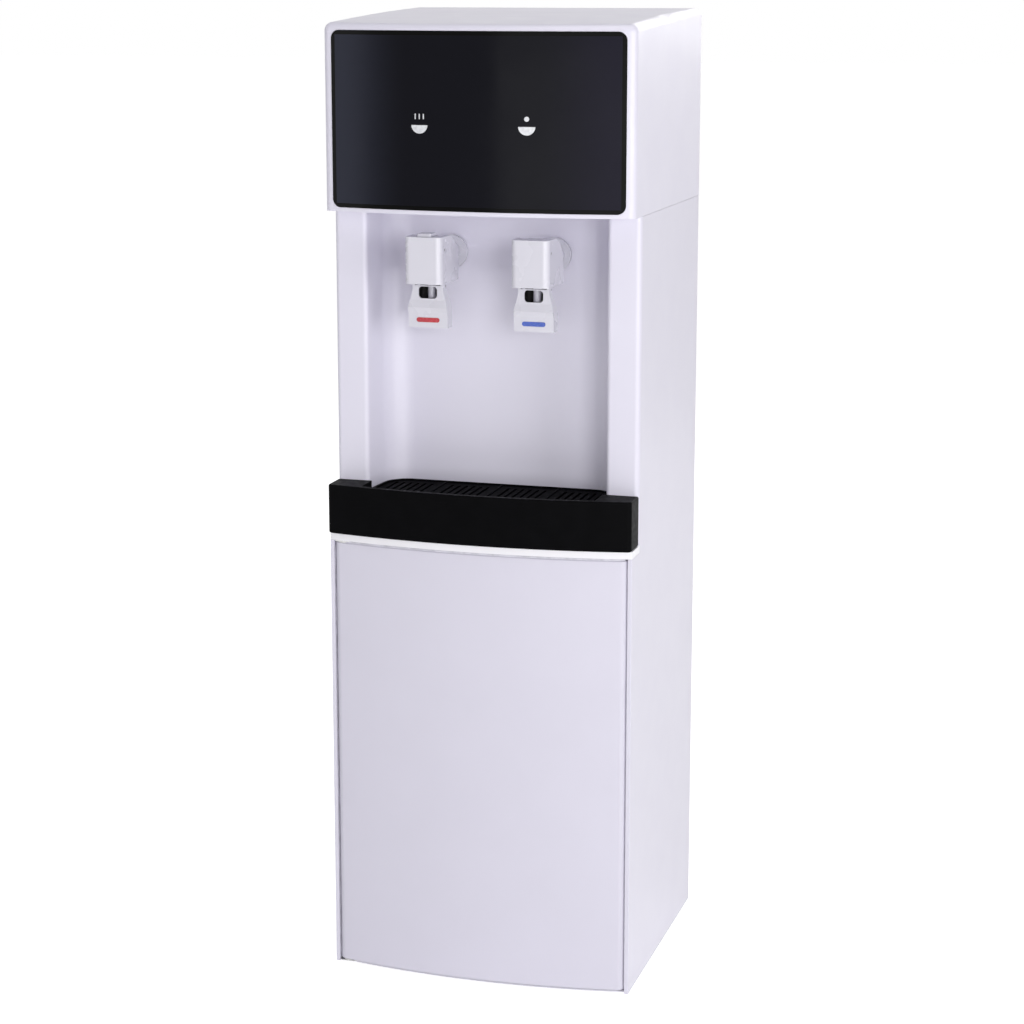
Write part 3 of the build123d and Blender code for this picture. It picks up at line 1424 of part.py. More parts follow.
lid_port_z = cold_top + foam_wall + lid_port_rise
feed_hose_route = [
    (outlet_port_x, port_front, pump_axis_z),
    (outlet_port_x, port_front - 24, pump_axis_z),
    (outlet_port_x + 12, port_front - 46, pump_axis_z + 26),
    (outlet_port_x + 30, feed_hose_y + 6, pump_axis_z + 70),
    (feed_hose_x - 16, feed_hose_y + 2, pump_axis_z + 120),
    (feed_hose_x, feed_hose_y, tank_shelf_height),
    (feed_hose_x + 1, feed_hose_y, tank_shelf_height + 60),
    (feed_hose_x, feed_hose_y + 1, tank_shelf_height + 120),
    (feed_hose_x + 1, feed_hose_y + 4, tank_shelf_height + 175),
    (feed_hose_x + 14, feed_hose_y + 18, lid_port_z + 24),
    (lid_port_x - 18, lid_port_y - 22, lid_port_z + 46),
    (lid_port_x, lid_port_y, lid_port_z + 34),
    (lid_port_x, lid_port_y, lid_port_z),
]

drain_reach = 12.0
drain_route = [
    (hot_tank_offset, tank_y, hot_drain_z),
    (hot_tank_offset, tank_y, tank_shelf_height - 34),
    (hot_tank_offset + 12, tank_y + 10, tank_shelf_height - 62),
    (hot_tank_offset + 36, tank_y + 28, tank_shelf_height - 92),
    (hot_tank_offset + 60, tank_y + 46, tank_shelf_height - 120),
    (drain_x - 4, tank_y + 58, drain_z + 5),
    (drain_x, side_rear - drain_reach - 14, drain_z),
    (drain_x, side_rear - drain_reach, drain_z),
]
with BuildPart() as water_hoses:
    rod((feed_start, tank_y, feed_z), (1, 0, 0), stub_radius, feed_end - feed_start)
    add(bent_tube("hot water hose", hot_water_route, hose_radius))
    add(bent_tube("feed hose", feed_hose_route, hose_radius))
    add(bent_tube("drain hose", drain_route, hose_radius))
save(water_hoses.part, "water_hoses")

# ---------------------------------------------------------------------------
# Condenser and its tube, from the compressor to the drier
# ---------------------------------------------------------------------------

tube_y = rear_face + condenser_reach - side_sheet - wire_side - condenser_tube_radius
condenser_top = condenser_foot + (condenser_passes - 1) * condenser_pitch
drier_radius = 9.0
drier_length = 90.0
drier_taper = 12.0
drier_foot = deck_top + 60
drier_y = side_rear - 34
bend = condenser_pitch / 2 - 0.2
serpentine = []
for number in range(condenser_passes):
    level = condenser_top - number * condenser_pitch
    ends = (condenser_half, -condenser_half) if number % 2 == 0 else (-condenser_half, condenser_half)
    serpentine += [(end, tube_y, level) for end in ends]
condenser_route = [
    (compressor_offset + compressor_radius + 8, compressor_y, stub_z),
    (riser_x, compressor_y, stub_z),
    (riser_x, tube_y, stub_z),
    (riser_x, tube_y, condenser_top),
]
condenser_route += serpentine[1:-1]
condenser_route += [
    (-riser_x, tube_y, condenser_foot),
    (-riser_x, tube_y, deck_top + return_rise),
    (-riser_x, drier_y, deck_top + return_rise),
    (-riser_x, drier_y, drier_foot),
]
condenser_bends = [min(bend, value) for value in bend_radii(condenser_route)]
with BuildPart() as condenser_tube:
    with BuildLine() as condenser_path:
        FilletPolyline(*[Vector(*point) for point in condenser_route], radius=condenser_bends)
    with BuildSketch(Plane(origin=condenser_path.line @ 0, z_dir=condenser_path.line % 0)):
        Circle(condenser_tube_radius)
    sweep()
save(condenser_tube.part, "condenser_tube")

wire_pitch = 2 * (condenser_half - bend - 4) / (wire_count - 1)
with BuildPart() as condenser_wires:
    for face_y in (tube_y - condenser_tube_radius - wire_side, tube_y + condenser_tube_radius):
        for number in range(wire_count):
            wire_x = (number - (wire_count - 1) / 2) * wire_pitch
            block(
                (wire_x - wire_side / 2, wire_x + wire_side / 2),
                (face_y, face_y + wire_side),
                (condenser_foot - 10, condenser_top + 10),
            )
save(condenser_wires.part, "condenser_wires")

bracket_width = 14.0
bracket_sheet = 2.0
bracket_levels = (condenser_foot + condenser_pitch, condenser_top - condenser_pitch)
bracket_x = condenser_half - bend - 14
with BuildPart() as condenser_brackets:
    for side in (-1, 1):
        for level in bracket_levels:
            with BuildSketch(Plane.YZ.offset(side * bracket_x + wire_pitch / 2 - bracket_width / 4)):
                with BuildLine():
                    Polyline(
                        (rear_face, level - 16),
                        (rear_face + bracket_sheet, level - 16),
                        (rear_face + bracket_sheet, level - 3),
                        (tube_y + 2, level - 3),
                        (tube_y + 2, level + 3),
                        (rear_face + bracket_sheet, level + 3),
                        (rear_face + bracket_sheet, level + 16),
                        (rear_face, level + 16),
                        close=True,
                    )
                make_face()
                with Locations((tube_y, level)):
                    Circle(condenser_tube_radius + fit, mode=Mode.SUBTRACT)
                with Locations((tube_y + 2, level)):
                    Rectangle(4, 2 * (condenser_tube_radius + fit), mode=Mode.SUBTRACT)
            extrude(amount=bracket_width / 2)
save(condenser_brackets.part, "condenser_brackets")

suction_route = [
    (compressor_offset - compressor_radius - 8, compressor_y, stub_z),
    (compressor_offset - compressor_radius - 34, compressor_y, stub_z),
    (compressor_offset - compressor_radius - 36, compressor_y - 10, stub_z + 34),
    (suction_x - 8, suction_y + 2, tank_shelf_height - 44),
    (suction_x, suction_y, tank_shelf_height - 22),
    (suction_x, suction_y, tank_shelf_top),
]
with BuildPart() as copper_lines:
    add(bent_tube("suction line", suction_route, pipe_radius))
    coil_middle = cold_x + cold_tank_radius + seam + coil_depth / 2
    coil_height = coil_turns * coil_pitch
    with BuildSketch(Plane.XZ.offset(-tank_y)):
        with Locations((coil_middle, coil_foot + coil_height / 2)):
            Rectangle(coil_depth - 2 * seam, coil_height)
    revolve(axis=Axis((cold_x, tank_y, 0), (0, 0, 1)))
    with BuildSketch(Plane.XZ.offset(-drier_y)):
        with BuildLine():
            Polyline(
                (-riser_x, drier_foot),
                (-riser_x + condenser_tube_radius + 1, drier_foot),
                (-riser_x + drier_radius, drier_foot + drier_taper),
                (-riser_x + drier_radius, drier_foot + drier_length - drier_taper),
                (-riser_x + condenser_tube_radius, drier_foot + drier_length),
                (-riser_x, drier_foot + drier_length),
                close=True,
            )
        make_face()
    revolve(axis=Axis((-riser_x, drier_y, 0), (0, 0, 1)))
save(copper_lines.part, "copper_lines")

# ---------------------------------------------------------------------------
# Rear: switches, mains inlet, drain
# ---------------------------------------------------------------------------

switch_frame = 6.0
switch_sheet = 2.5
rocker_width = 13.0
rocker_height = 19.0
rocker_pitch = 20.0
rocker_pin_radius = 1.2
rocker_pin_reach = 2.0
rocker_reach = 8.8
rocker_swing = 16.0
rocker_axis_y = rear_face - 3
well_depth = 14.0
switch_places = {"hot": switch_x - rocker_pitch / 2, "cold": switch_x + rocker_pitch / 2}
with BuildPart() as switch_plate:
    with BuildSketch(Plane.XZ.offset(-rear_face)):
        with Locations((switch_x, switch_z)):
            RectangleRounded(switch_cut_width + 2 * switch_frame, switch_cut_height + 2 * switch_frame, 3)
    extrude(amount=-switch_sheet)
    block(
        (switch_x - switch_cut_width / 2 + seam, switch_x + switch_cut_width / 2 - seam),
        (rear_face - well_depth, rear_face),
        (switch_z - switch_cut_height / 2 + seam, switch_z + switch_cut_height / 2 - seam),
    )
    for x in switch_places.values():
        block(
            (x - rocker_width / 2 - running_gap, x + rocker_width / 2 + running_gap),
            (rear_face - well_depth + 2, rear_face + switch_sheet + 1),
            (switch_z - rocker_height / 2 - running_gap, switch_z + rocker_height / 2 + running_gap),
            mode=Mode.SUBTRACT,
        )
        bore_start = x - rocker_width / 2 - rocker_pin_reach - seam
        bore_span = rocker_width + 2 * (rocker_pin_reach + seam)
        rod(
            (bore_start, rocker_axis_y, switch_z),
            (1, 0, 0),
            rocker_pin_radius + fit,
            bore_span,
            mode=Mode.SUBTRACT,
        )
save(switch_plate.part, "switch_plate")

for switch_name, x in switch_places.items():
    tilt = math.radians(rocker_swing / 2)
    rocker_plane = Plane(
        origin=(x - rocker_width / 2, rocker_axis_y, switch_z),
        x_dir=(0, math.cos(tilt), math.sin(tilt)),
        z_dir=(1, 0, 0),
    )
    face_rise = rear_face + switch_sheet - rocker_axis_y
    with BuildPart() as rocker:
        with BuildSketch(rocker_plane):
            with BuildLine():
                Polyline(
                    (face_rise + 0.9, rocker_reach),
                    (face_rise - 0.2, 0),
                    (face_rise + 0.9, -rocker_reach),
                    (-1, 0.6 - rocker_reach),
                    (-4, -3),
                    (-4, 3),
                    (-1, rocker_reach - 0.6),
                    close=True,
                )
            make_face()
        extrude(amount=rocker_width)
        pin_start = x - rocker_width / 2 - rocker_pin_reach
        pin_span = rocker_width + 2 * rocker_pin_reach
        rod((pin_start, rocker_axis_y, switch_z), (1, 0, 0), rocker_pin_radius, pin_span)
    save(rocker.part, switch_name + "_rocker")

inlet_flange = 5.0
inlet_depth = 20.0
inlet_cavity = (22.0, 15.0)
inlet_cavity_depth = 15.0
blade = (2.0, 4.0)
with BuildPart() as power_inlet:
    with BuildSketch(Plane.XZ.offset(-rear_face)):
        with Locations((inlet_x, inlet_z)):
            RectangleRounded(inlet_width + 4 * inlet_flange, inlet_height + inlet_flange, 3)
    extrude(amount=-3)
    block(
        (inlet_x - inlet_width / 2, inlet_x + inlet_width / 2),
        (rear_face - inlet_depth, rear_face),
        (inlet_z - inlet_height / 2, inlet_z + inlet_height / 2),
    )
    with BuildSketch(Plane.XZ.offset(-rear_face - 3)):
        with Locations((inlet_x, inlet_z)):
            RectangleRounded(inlet_cavity[0], inlet_cavity[1], 3)
    extrude(amount=inlet_cavity_depth, mode=Mode.SUBTRACT)
    pin_root = rear_face + 3 - inlet_cavity_depth
    for x, z in ((-7, -2.5), (7, -2.5), (0, -4)):
        block(
            (inlet_x + x - blade[0] / 2, inlet_x + x + blade[0] / 2),
            (pin_root, pin_root + inlet_cavity_depth - 3),
            (inlet_z + z - blade[1] / 2, inlet_z + z + blade[1] / 2),
        )
save(power_inlet.part, "power_inlet")

spout_reach = 14.0
with BuildPart() as drain_spout:
    spout_length = drain_reach + rear_sheet + spout_reach
    rod((drain_x, side_rear - drain_reach, drain_z), (0, 1, 0), drain_radius, spout_length)
    rod((drain_x, rear_face, drain_z), (0, 1, 0), drain_radius + 5, 3)
    rod((drain_x, side_rear - 3, drain_z), (0, 1, 0), drain_radius + 4, 3)
    rod((drain_x, side_rear - drain_reach - 1, drain_z), (0, 1, 0), 3.5, 60, mode=Mode.SUBTRACT)
save(drain_spout.part, "drain_spout")

cap_grip = 11.0
cap_flutes = 16
with BuildPart() as drain_cap:
    cap_front = rear_face + 3 + seam
    cap_rear = rear_face + spout_reach + 3
    rod((drain_x, cap_front, drain_z), (0, 1, 0), cap_grip, cap_rear - cap_front)
    socket_depth = rear_face + spout_reach - cap_front + 1
    rod((drain_x, cap_front - 1, drain_z), (0, 1, 0), drain_radius + fit, socket_depth, mode=Mode.SUBTRACT)
    with BuildSketch(Plane.XZ.offset(-cap_front)):
        with Locations((drain_x, drain_z)):
            with PolarLocations(cap_grip + 0.4, cap_flutes):
                Circle(1.2)
    extrude(amount=cap_front - cap_rear, mode=Mode.SUBTRACT)
save(drain_cap.part, "drain_cap")
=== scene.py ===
# %% [markdown]
# # A bottom load water cooler
# The cooler comes ready made as solids in real sizes: a tall white cabinet, a
# dark head panel, two lever taps over a drip tray, and a door over the bottle.
# This lesson gives each surface its finish and adds the small things that a solid model leaves
# out. Nothing that is loaded is moved or reshaped.

import math

import bmesh
import bpy
from mathutils import Matrix, Vector
from mathutils.bvhtree import BVHTree


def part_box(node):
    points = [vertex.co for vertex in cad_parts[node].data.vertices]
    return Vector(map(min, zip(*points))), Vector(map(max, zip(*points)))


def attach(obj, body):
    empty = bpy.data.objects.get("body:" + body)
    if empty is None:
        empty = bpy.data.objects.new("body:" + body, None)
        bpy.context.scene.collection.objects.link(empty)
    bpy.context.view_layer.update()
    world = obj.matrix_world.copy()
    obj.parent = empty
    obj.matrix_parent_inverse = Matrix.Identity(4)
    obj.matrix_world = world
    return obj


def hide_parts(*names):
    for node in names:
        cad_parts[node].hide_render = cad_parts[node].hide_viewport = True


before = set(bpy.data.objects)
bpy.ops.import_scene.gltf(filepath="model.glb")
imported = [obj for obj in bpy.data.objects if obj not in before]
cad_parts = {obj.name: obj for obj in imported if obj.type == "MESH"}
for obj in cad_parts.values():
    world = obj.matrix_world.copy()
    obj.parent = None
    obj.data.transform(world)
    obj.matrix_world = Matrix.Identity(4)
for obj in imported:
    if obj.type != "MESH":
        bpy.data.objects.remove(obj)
bpy.context.view_layer.update()

# %% [markdown]
# ## The camera
# The photograph was taken from a little above the cooler's top, to the right
# of its front, with a long lens. A camera can be placed by eye, but straight
# edges fix it better: the position, the two angles and the lens below make the
# corners of the cabinet, tray and fascia fall near where the photograph has
# them. A small downward shift keeps the uprights nearly parallel, as they are
# in the picture.

# %% Place the camera
camera_place = Vector((0.788, -2.675, 1.1155))
camera_turn = math.radians(16.6)
camera_dip = math.radians(11.4)
focal_pixels = 2478.0
picture_pixels = 1024.0

lens = bpy.data.cameras.new("photograph lens")
lens.sensor_width = 36.0
lens.lens = focal_pixels / picture_pixels * lens.sensor_width
lens.shift_y = -0.0352
lens.clip_start, lens.clip_end = 0.05, 50.0
camera = bpy.data.objects.new("camera", lens)
bpy.context.scene.collection.objects.link(camera)
camera.location = camera_place
camera.rotation_euler = (math.pi / 2 - camera_dip, 0.0, camera_turn)
bpy.context.scene.camera = camera
print("lens", round(lens.lens, 1), "mm at", [round(v, 3) for v in camera_place])

# %% [markdown]
# ## The probe's hose
# A silicone hose carries the water from the probe to the pump. With the probe
# parked it hangs in a slack loop beside the bottle. A bevelled curve is the
# natural way to make a hose: it has one smooth centre line and a round
# section, and the line's own points can be read as the hose's route. The
# points are those of the solid hose, in metres, and the curve stands for it.

# %% Hang the hose
hose_route = [
    (-0.1400, 0.0915, 0.4750),
    (-0.1400, 0.0635, 0.4750),
    (-0.1510, 0.0395, 0.4550),
    (-0.1570, 0.0295, 0.4210),
    (-0.1580, 0.0275, 0.3770),
    (-0.1580, 0.0115, 0.3390),
    (-0.1580, -0.0175, 0.3290),
    (-0.1580, -0.0445, 0.3450),
    (-0.1580, -0.0555, 0.3830),
    (-0.1590, -0.0525, 0.4270),
    (-0.1580, -0.0445, 0.4700),
    (-0.1580, -0.0445, 0.5410),
    (-0.1270, 0.0145, 0.5410),
    (-0.1270, 0.0305, 0.5410),
]
hose_radius = 0.005


def smooth_line(name, route, radius):
    """One round NURBS line along a route, of order 3, held at its ends."""
    line = bpy.data.curves.new(name, "CURVE")
    line.dimensions = "3D"
    spline = line.splines.new("NURBS")
    spline.points.add(len(route) - 1)
    for point, place in zip(spline.points, route):
        point.co = (*place, 1.0)
        point.radius = radius
    spline.order_u = 3
    spline.use_endpoint_u = True
    line.resolution_u = 16
    line.bevel_depth = 1.0
    line.bevel_resolution = 6
    thing = bpy.data.objects.new(name, line)
    bpy.context.scene.collection.objects.link(thing)
    return thing


hose = smooth_line("silicone_probe_hose", hose_route, hose_radius)
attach(hose, "cabinet")
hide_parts("probe_hose")
print("hose points", len(hose_route))

# %% [markdown]
# ## Finishes
# Every finish on the cooler, from moulded plastic to zinc, starts from one
# Principled shader, with fixed sockets for what is the same all over: colour,
# gloss, metal and clear coat. One helper that sets them keeps every finish
# below down to a few lines.

# %% The plain finish
def plain_finish(
    name, colour, roughness, metallic=0.0, coat=0.0, coat_roughness=0.05, specular=0.5
):
    """A material with a Principled shader and its plain numbers."""
    finish = bpy.data.materials.new(name)
    finish.use_nodes = True
    shader = finish.node_tree.nodes["Principled BSDF"]
    shader.inputs["Base Color"].default_value = (*colour, 1.0)
    shader.inputs["Roughness"].default_value = roughness
    shader.inputs["Metallic"].default_value = metallic
    shader.inputs["Coat Weight"].default_value = coat
    shader.inputs["Coat Roughness"].default_value = coat_roughness
    shader.inputs["Specular IOR Level"].default_value = specular
    return finish


def shader_of(finish):
    return finish.node_tree.nodes["Principled BSDF"]


print("plain finish ready")

# %% [markdown]
# ## What varies over a surface
# No real surface is the same all over, and a single flat colour looks like
# none. The change could come from a picture wrapped round each piece. Noise in
# object coordinates needs no wrapping, and in metres a grain has the same real
# size on a screw and on the door. Three helpers add it: one for a slight change
# of tint, one for uneven gloss, and one for the surface's fine relief.

# %% Helpers that vary a finish
def noise_in_metres(finish, size, detail=2.0, stretch=(1.0, 1.0, 1.0)):
    """Noise whose blotches are about the given size, in metres."""
    nodes, links = finish.node_tree.nodes, finish.node_tree.links
    place = nodes.new("ShaderNodeTexCoord")
    scale = nodes.new("ShaderNodeMapping")
    scale.inputs["Scale"].default_value = stretch
    noise = nodes.new("ShaderNodeTexNoise")
    noise.inputs["Scale"].default_value = 1.0 / size
    noise.inputs["Detail"].default_value = detail
    links.new(place.outputs["Object"], scale.inputs["Vector"])
    links.new(scale.outputs["Vector"], noise.inputs["Vector"])
    return noise.outputs["Fac"]


def vary_tint(finish, low, high, size, detail=2.0, stretch=(1.0, 1.0, 1.0)):
    """Blends the base colour between two near tints."""
    nodes, links = finish.node_tree.nodes, finish.node_tree.links
    ramp = nodes.new("ShaderNodeValToRGB")
    ramp.color_ramp.elements[0].position = 0.35
    ramp.color_ramp.elements[0].color = (*low, 1.0)
    ramp.color_ramp.elements[1].position = 0.65
    ramp.color_ramp.elements[1].color = (*high, 1.0)
    links.new(noise_in_metres(finish, size, detail, stretch), ramp.inputs["Fac"])
    links.new(ramp.outputs["Color"], shader_of(finish).inputs["Base Color"])


def vary_gloss(finish, low, high, size, detail=3.0, stretch=(1.0, 1.0, 1.0)):
    """Lets the roughness wander between two values."""
    nodes, links = finish.node_tree.nodes, finish.node_tree.links
    span = nodes.new("ShaderNodeMapRange")
    span.inputs["From Min"].default_value = 0.3
    span.inputs["From Max"].default_value = 0.7
    span.inputs["To Min"].default_value = low
    span.inputs["To Max"].default_value = high
    links.new(noise_in_metres(finish, size, detail, stretch), span.inputs["Value"])
    links.new(span.outputs["Result"], shader_of(finish).inputs["Roughness"])


def add_relief(finish, size, height, detail=2.0, stretch=(1.0, 1.0, 1.0)):
    """Fine relief of a given size and height, both in metres."""
    nodes, links = finish.node_tree.nodes, finish.node_tree.links
    bump = nodes.new("ShaderNodeBump")
    bump.inputs["Strength"].default_value = 1.0
    bump.inputs["Distance"].default_value = height
    links.new(noise_in_metres(finish, size, detail, stretch), bump.inputs["Height"])
    links.new(bump.outputs["Normal"], shader_of(finish).inputs["Normal"])


print("tint, gloss and relief helpers ready")

# %% [markdown]
# ## White mouldings
# The head, the columns with their recess, the rim and the door's skin are moulded in a cool white
# plastic with a faint violet cast. The rim's copy of that white is set lighter, as painted light
# on the rim under the tray's overhang, and the door's copy darker, as painted shade on its face.
# Injection mouldings this size are never quite flat: the surface has a shallow orange peel that
# softens reflections. Two tints a shade apart and a roughness round 0.35 give that satin gloss
# without turning the white grey.

# %% White moulded plastic
def white_moulding(name, colour, roughness, peel=0.00003):
    finish = plain_finish(name, colour, roughness, coat=0.12, coat_roughness=0.2)
    darker = tuple(0.985 * part for part in colour)
    vary_tint(finish, darker, colour, 0.09)
    vary_gloss(finish, roughness - 0.04, roughness + 0.05, 0.04)
    add_relief(finish, 0.004, peel)
    return finish


housing_white = white_moulding("housing white", (0.745, 0.725, 0.826), 0.38)
# The door's white is darker than the housing's, though it is the same plastic: painted shade on
# its face.
door_white_painted_shade = white_moulding("door white, painted shade", (0.672, 0.653, 0.747), 0.36)
# The rim's white is lighter than the housing's, though it is the same plastic: painted light under
# the tray's overhang.
rim_white_painted_light = white_moulding("rim white, painted light", (0.90, 0.89, 0.93), 0.32)
tap_white = white_moulding("tap white", (0.663, 0.653, 0.72), 0.26, peel=0.00001)
liner_white = white_moulding("liner white", (0.72, 0.71, 0.76), 0.5)
nut_white = white_moulding("nylon white", (0.74, 0.74, 0.72), 0.45)
print("white mouldings made")

# %% [markdown]
# ## Painted and plated sheet
# The sides are sheet steel with baked paint, a touch less glossy than the
# plastic. The decks and the rear panel are zinc plated: their crystals, called
# spangle, show as patches of slightly different grey, which a cell texture
# draws well. Bent brackets and plates are brushed along one direction, and a
# stretched noise gives the drawn lines.

# %% Painted and zinc sheet
def painted_sheet(name, colour, roughness):
    finish = plain_finish(name, colour, roughness, coat=0.2, coat_roughness=0.15)
    vary_tint(finish, tuple(0.988 * part for part in colour), colour, 0.15)
    vary_gloss(finish, roughness - 0.03, roughness + 0.04, 0.03)
    add_relief(finish, 0.0022, 0.00002)
    return finish


def zinc_sheet(name, colour, roughness):
    finish = plain_finish(name, colour, roughness, metallic=0.85)
    nodes, links = finish.node_tree.nodes, finish.node_tree.links
    place = nodes.new("ShaderNodeTexCoord")
    cells = nodes.new("ShaderNodeTexVoronoi")
    cells.inputs["Scale"].default_value = 90.0
    ramp = nodes.new("ShaderNodeValToRGB")
    ramp.color_ramp.elements[0].color = (*[0.86 * part for part in colour], 1.0)
    ramp.color_ramp.elements[1].color = (*colour, 1.0)
    links.new(place.outputs["Object"], cells.inputs["Vector"])
    links.new(cells.outputs["Color"], ramp.inputs["Fac"])
    links.new(ramp.outputs["Color"], shader_of(finish).inputs["Base Color"])
    vary_gloss(finish, roughness - 0.08, roughness + 0.1, 0.008)
    return finish


def brushed_steel(name, colour, roughness, stretch=(1.0, 1.0, 0.04)):
    finish = plain_finish(name, colour, roughness, metallic=1.0)
    vary_tint(finish, tuple(0.9 * part for part in colour), colour, 0.0012, stretch=stretch)
    vary_gloss(finish, roughness - 0.06, roughness + 0.08, 0.0009, stretch=stretch)
    add_relief(finish, 0.0006, 0.00001, stretch=stretch)
    return finish


side_paint = painted_sheet("side paint", (0.713, 0.694, 0.791), 0.42)
pan_paint = painted_sheet("pan paint", (0.70, 0.69, 0.76), 0.45)
zinc_grey = zinc_sheet("zinc sheet", (0.62, 0.63, 0.65), 0.38)
bracket_steel = brushed_steel("bracket steel", (0.66, 0.66, 0.66), 0.32)
screw_steel = brushed_steel("screw steel", (0.72, 0.72, 0.71), 0.25, stretch=(1.0, 1.0, 1.0))
tank_steel = brushed_steel("tank steel", (0.68, 0.68, 0.67), 0.28)
pin_steel = brushed_steel("dark pin steel", (0.20, 0.20, 0.21), 0.35, stretch=(0.04, 1.0, 1.0))
print("sheet and steel made")

# %% [markdown]
# ## The dark front pieces
# The head panel is a smoked gloss sheet, printed black round its border. Its colour runs lighter
# and bluer towards its left end and a little lighter at its right end: a painted reflection of the
# room in the gloss. Its colour comes from where a point lies on the panel, so the border is a
# printed one and not another piece. The drip tray and its grille are near black but satin, as
# parts that get wet and wiped usually are. All of them reflect little: a low specular level keeps
# them dark in a white room.

# %% Gloss and satin black
def between(nodes, links, value, low, high):
    """One where a coordinate lies between two values, else nought."""
    above = nodes.new("ShaderNodeMath")
    above.operation = "GREATER_THAN"
    above.inputs[1].default_value = low
    below = nodes.new("ShaderNodeMath")
    below.operation = "LESS_THAN"
    below.inputs[1].default_value = high
    both = nodes.new("ShaderNodeMath")
    both.operation = "MULTIPLY"
    links.new(value, above.inputs[0])
    links.new(value, below.inputs[0])
    links.new(above.outputs["Value"], both.inputs[0])
    links.new(below.outputs["Value"], both.inputs[1])
    return both.outputs["Value"]


def smoked_panel(name, stops, low, high, border, black):
    """A panel whose colour runs from end to end as a painted reflection, inside a printed black
    border.
    """
    finish = plain_finish(name, stops[1][1], 0.14, specular=0.07)
    nodes, links = finish.node_tree.nodes, finish.node_tree.links
    place = nodes.new("ShaderNodeTexCoord")
    parts = nodes.new("ShaderNodeSeparateXYZ")
    run = nodes.new("ShaderNodeMapRange")
    run.inputs["From Min"].default_value = low.x
    run.inputs["From Max"].default_value = high.x
    ramp = nodes.new("ShaderNodeValToRGB")
    ramp.color_ramp.interpolation = "EASE"
    while len(ramp.color_ramp.elements) < len(stops):
        ramp.color_ramp.elements.new(0.5)
    for stop, (position, colour) in zip(ramp.color_ramp.elements, stops):
        stop.position = position
        stop.color = (*colour, 1.0)
    inside = nodes.new("ShaderNodeMath")
    inside.operation = "MULTIPLY"
    blend = nodes.new("ShaderNodeMix")
    blend.data_type = "RGBA"
    blend.inputs["A"].default_value = (*black, 1.0)
    links.new(place.outputs["Object"], parts.inputs["Vector"])
    links.new(parts.outputs["X"], run.inputs["Value"])
    links.new(run.outputs["Result"], ramp.inputs["Fac"])
    wide = between(nodes, links, parts.outputs["X"], low.x + border, high.x - border)
    tall = between(nodes, links, parts.outputs["Z"], low.z + border, high.z - border)
    links.new(wide, inside.inputs[0])
    links.new(tall, inside.inputs[1])
    links.new(inside.outputs["Value"], blend.inputs["Factor"])
    links.new(ramp.outputs["Color"], blend.inputs["B"])
    links.new(blend.outputs["Result"], shader_of(finish).inputs["Base Color"])
    vary_gloss(finish, 0.11, 0.18, 0.05)
    add_relief(finish, 0.012, 0.00001)
    return finish


def satin_plastic(name, colour, roughness, grain=0.0009, specular=0.5):
    finish = plain_finish(name, colour, roughness, specular=specular)
    vary_tint(finish, tuple(0.8 * part for part in colour), colour, 0.02)
    vary_gloss(finish, roughness - 0.05, roughness + 0.07, 0.006)
    add_relief(finish, grain, 0.00002)
    return finish


panel_low, panel_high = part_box("fascia_panel")
# Colour stops across the panel: near black in the middle, lighter towards both ends as a painted
# reflection.
panel_colour_and_painted_reflection = [
    (0.0, (0.022, 0.024, 0.038)),
    (0.28, (0.004, 0.004, 0.007)),
    (0.7, (0.004, 0.004, 0.007)),
    (1.0, (0.009, 0.008, 0.017)),
]
border_width = 0.0045
border_black = (0.001, 0.001, 0.001)
fascia_navy = smoked_panel(
    "fascia navy", panel_colour_and_painted_reflection, panel_low, panel_high, border_width, border_black
)
tray_black = satin_plastic("tray black", (0.003, 0.003, 0.0035), 0.42, specular=0.02)
grille_black = satin_plastic("grille black", (0.004, 0.004, 0.005), 0.45, specular=0.004)
switch_black = satin_plastic("switch black", (0.014, 0.014, 0.015), 0.42, specular=0.3)
pump_black = satin_plastic("pump black", (0.022, 0.022, 0.024), 0.5)
enamel_black = satin_plastic("black enamel", (0.010, 0.010, 0.011), 0.28)
magnet_brown = satin_plastic("magnet brown", (0.045, 0.03, 0.022), 0.6)
print("dark finishes made")

# %% [markdown]
# ## Signs of hot and cold
# A red and a blue inlay tell the taps apart, and the rockers behind are red and
# green. All are smooth and glossy, so they need no relief: a little coat gives
# the shine, and a slight change of tint keeps them from looking printed. The
# white marks in the dark panel share this finish.

# %% Red, blue and the lights
def coloured_inlay(name, colour):
    finish = plain_finish(name, colour, 0.25, coat=0.4)
    vary_tint(finish, tuple(0.85 * part for part in colour), colour, 0.004)
    vary_gloss(finish, 0.2, 0.32, 0.003)
    return finish


mark_red = coloured_inlay("hot red", (0.50, 0.02, 0.035))
mark_blue = coloured_inlay("cold blue", (0.05, 0.11, 0.50))
rocker_red = coloured_inlay("rocker red", (0.42, 0.02, 0.02))
rocker_green = coloured_inlay("rocker green", (0.02, 0.22, 0.07))
lens_white = coloured_inlay("light lens", (0.74, 0.75, 0.78))
print("inlays made")

# %% [markdown]
# ## Rubber, foam, copper and clear plastic
# The rest is seen when the door is open or from behind: rubber feet and seals,
# the foam round the cold tank, copper pipe, and the probe and hose, whose
# plastic lets light through. Transmission with some roughness gives the milky
# look of silicone; glass would be too clear.

# %% Rubber, foam, copper and silicone
def soft_rubber(name, colour):
    finish = plain_finish(name, colour, 0.7, specular=0.3)
    vary_tint(finish, tuple(0.8 * part for part in colour), colour, 0.01)
    add_relief(finish, 0.001, 0.00004)
    return finish


def foam_shell(name, colour):
    finish = plain_finish(name, colour, 0.9)
    vary_tint(finish, tuple(0.9 * part for part in colour), colour, 0.004, detail=4.0)
    add_relief(finish, 0.003, 0.0003, detail=4.0)
    return finish


def clear_plastic(name, colour, roughness, transmission):
    finish = plain_finish(name, colour, roughness)
    shader_of(finish).inputs["Transmission Weight"].default_value = transmission
    shader_of(finish).inputs["IOR"].default_value = 1.42
    vary_gloss(finish, roughness - 0.05, roughness + 0.08, 0.01)
    add_relief(finish, 0.006, 0.00004)
    return finish


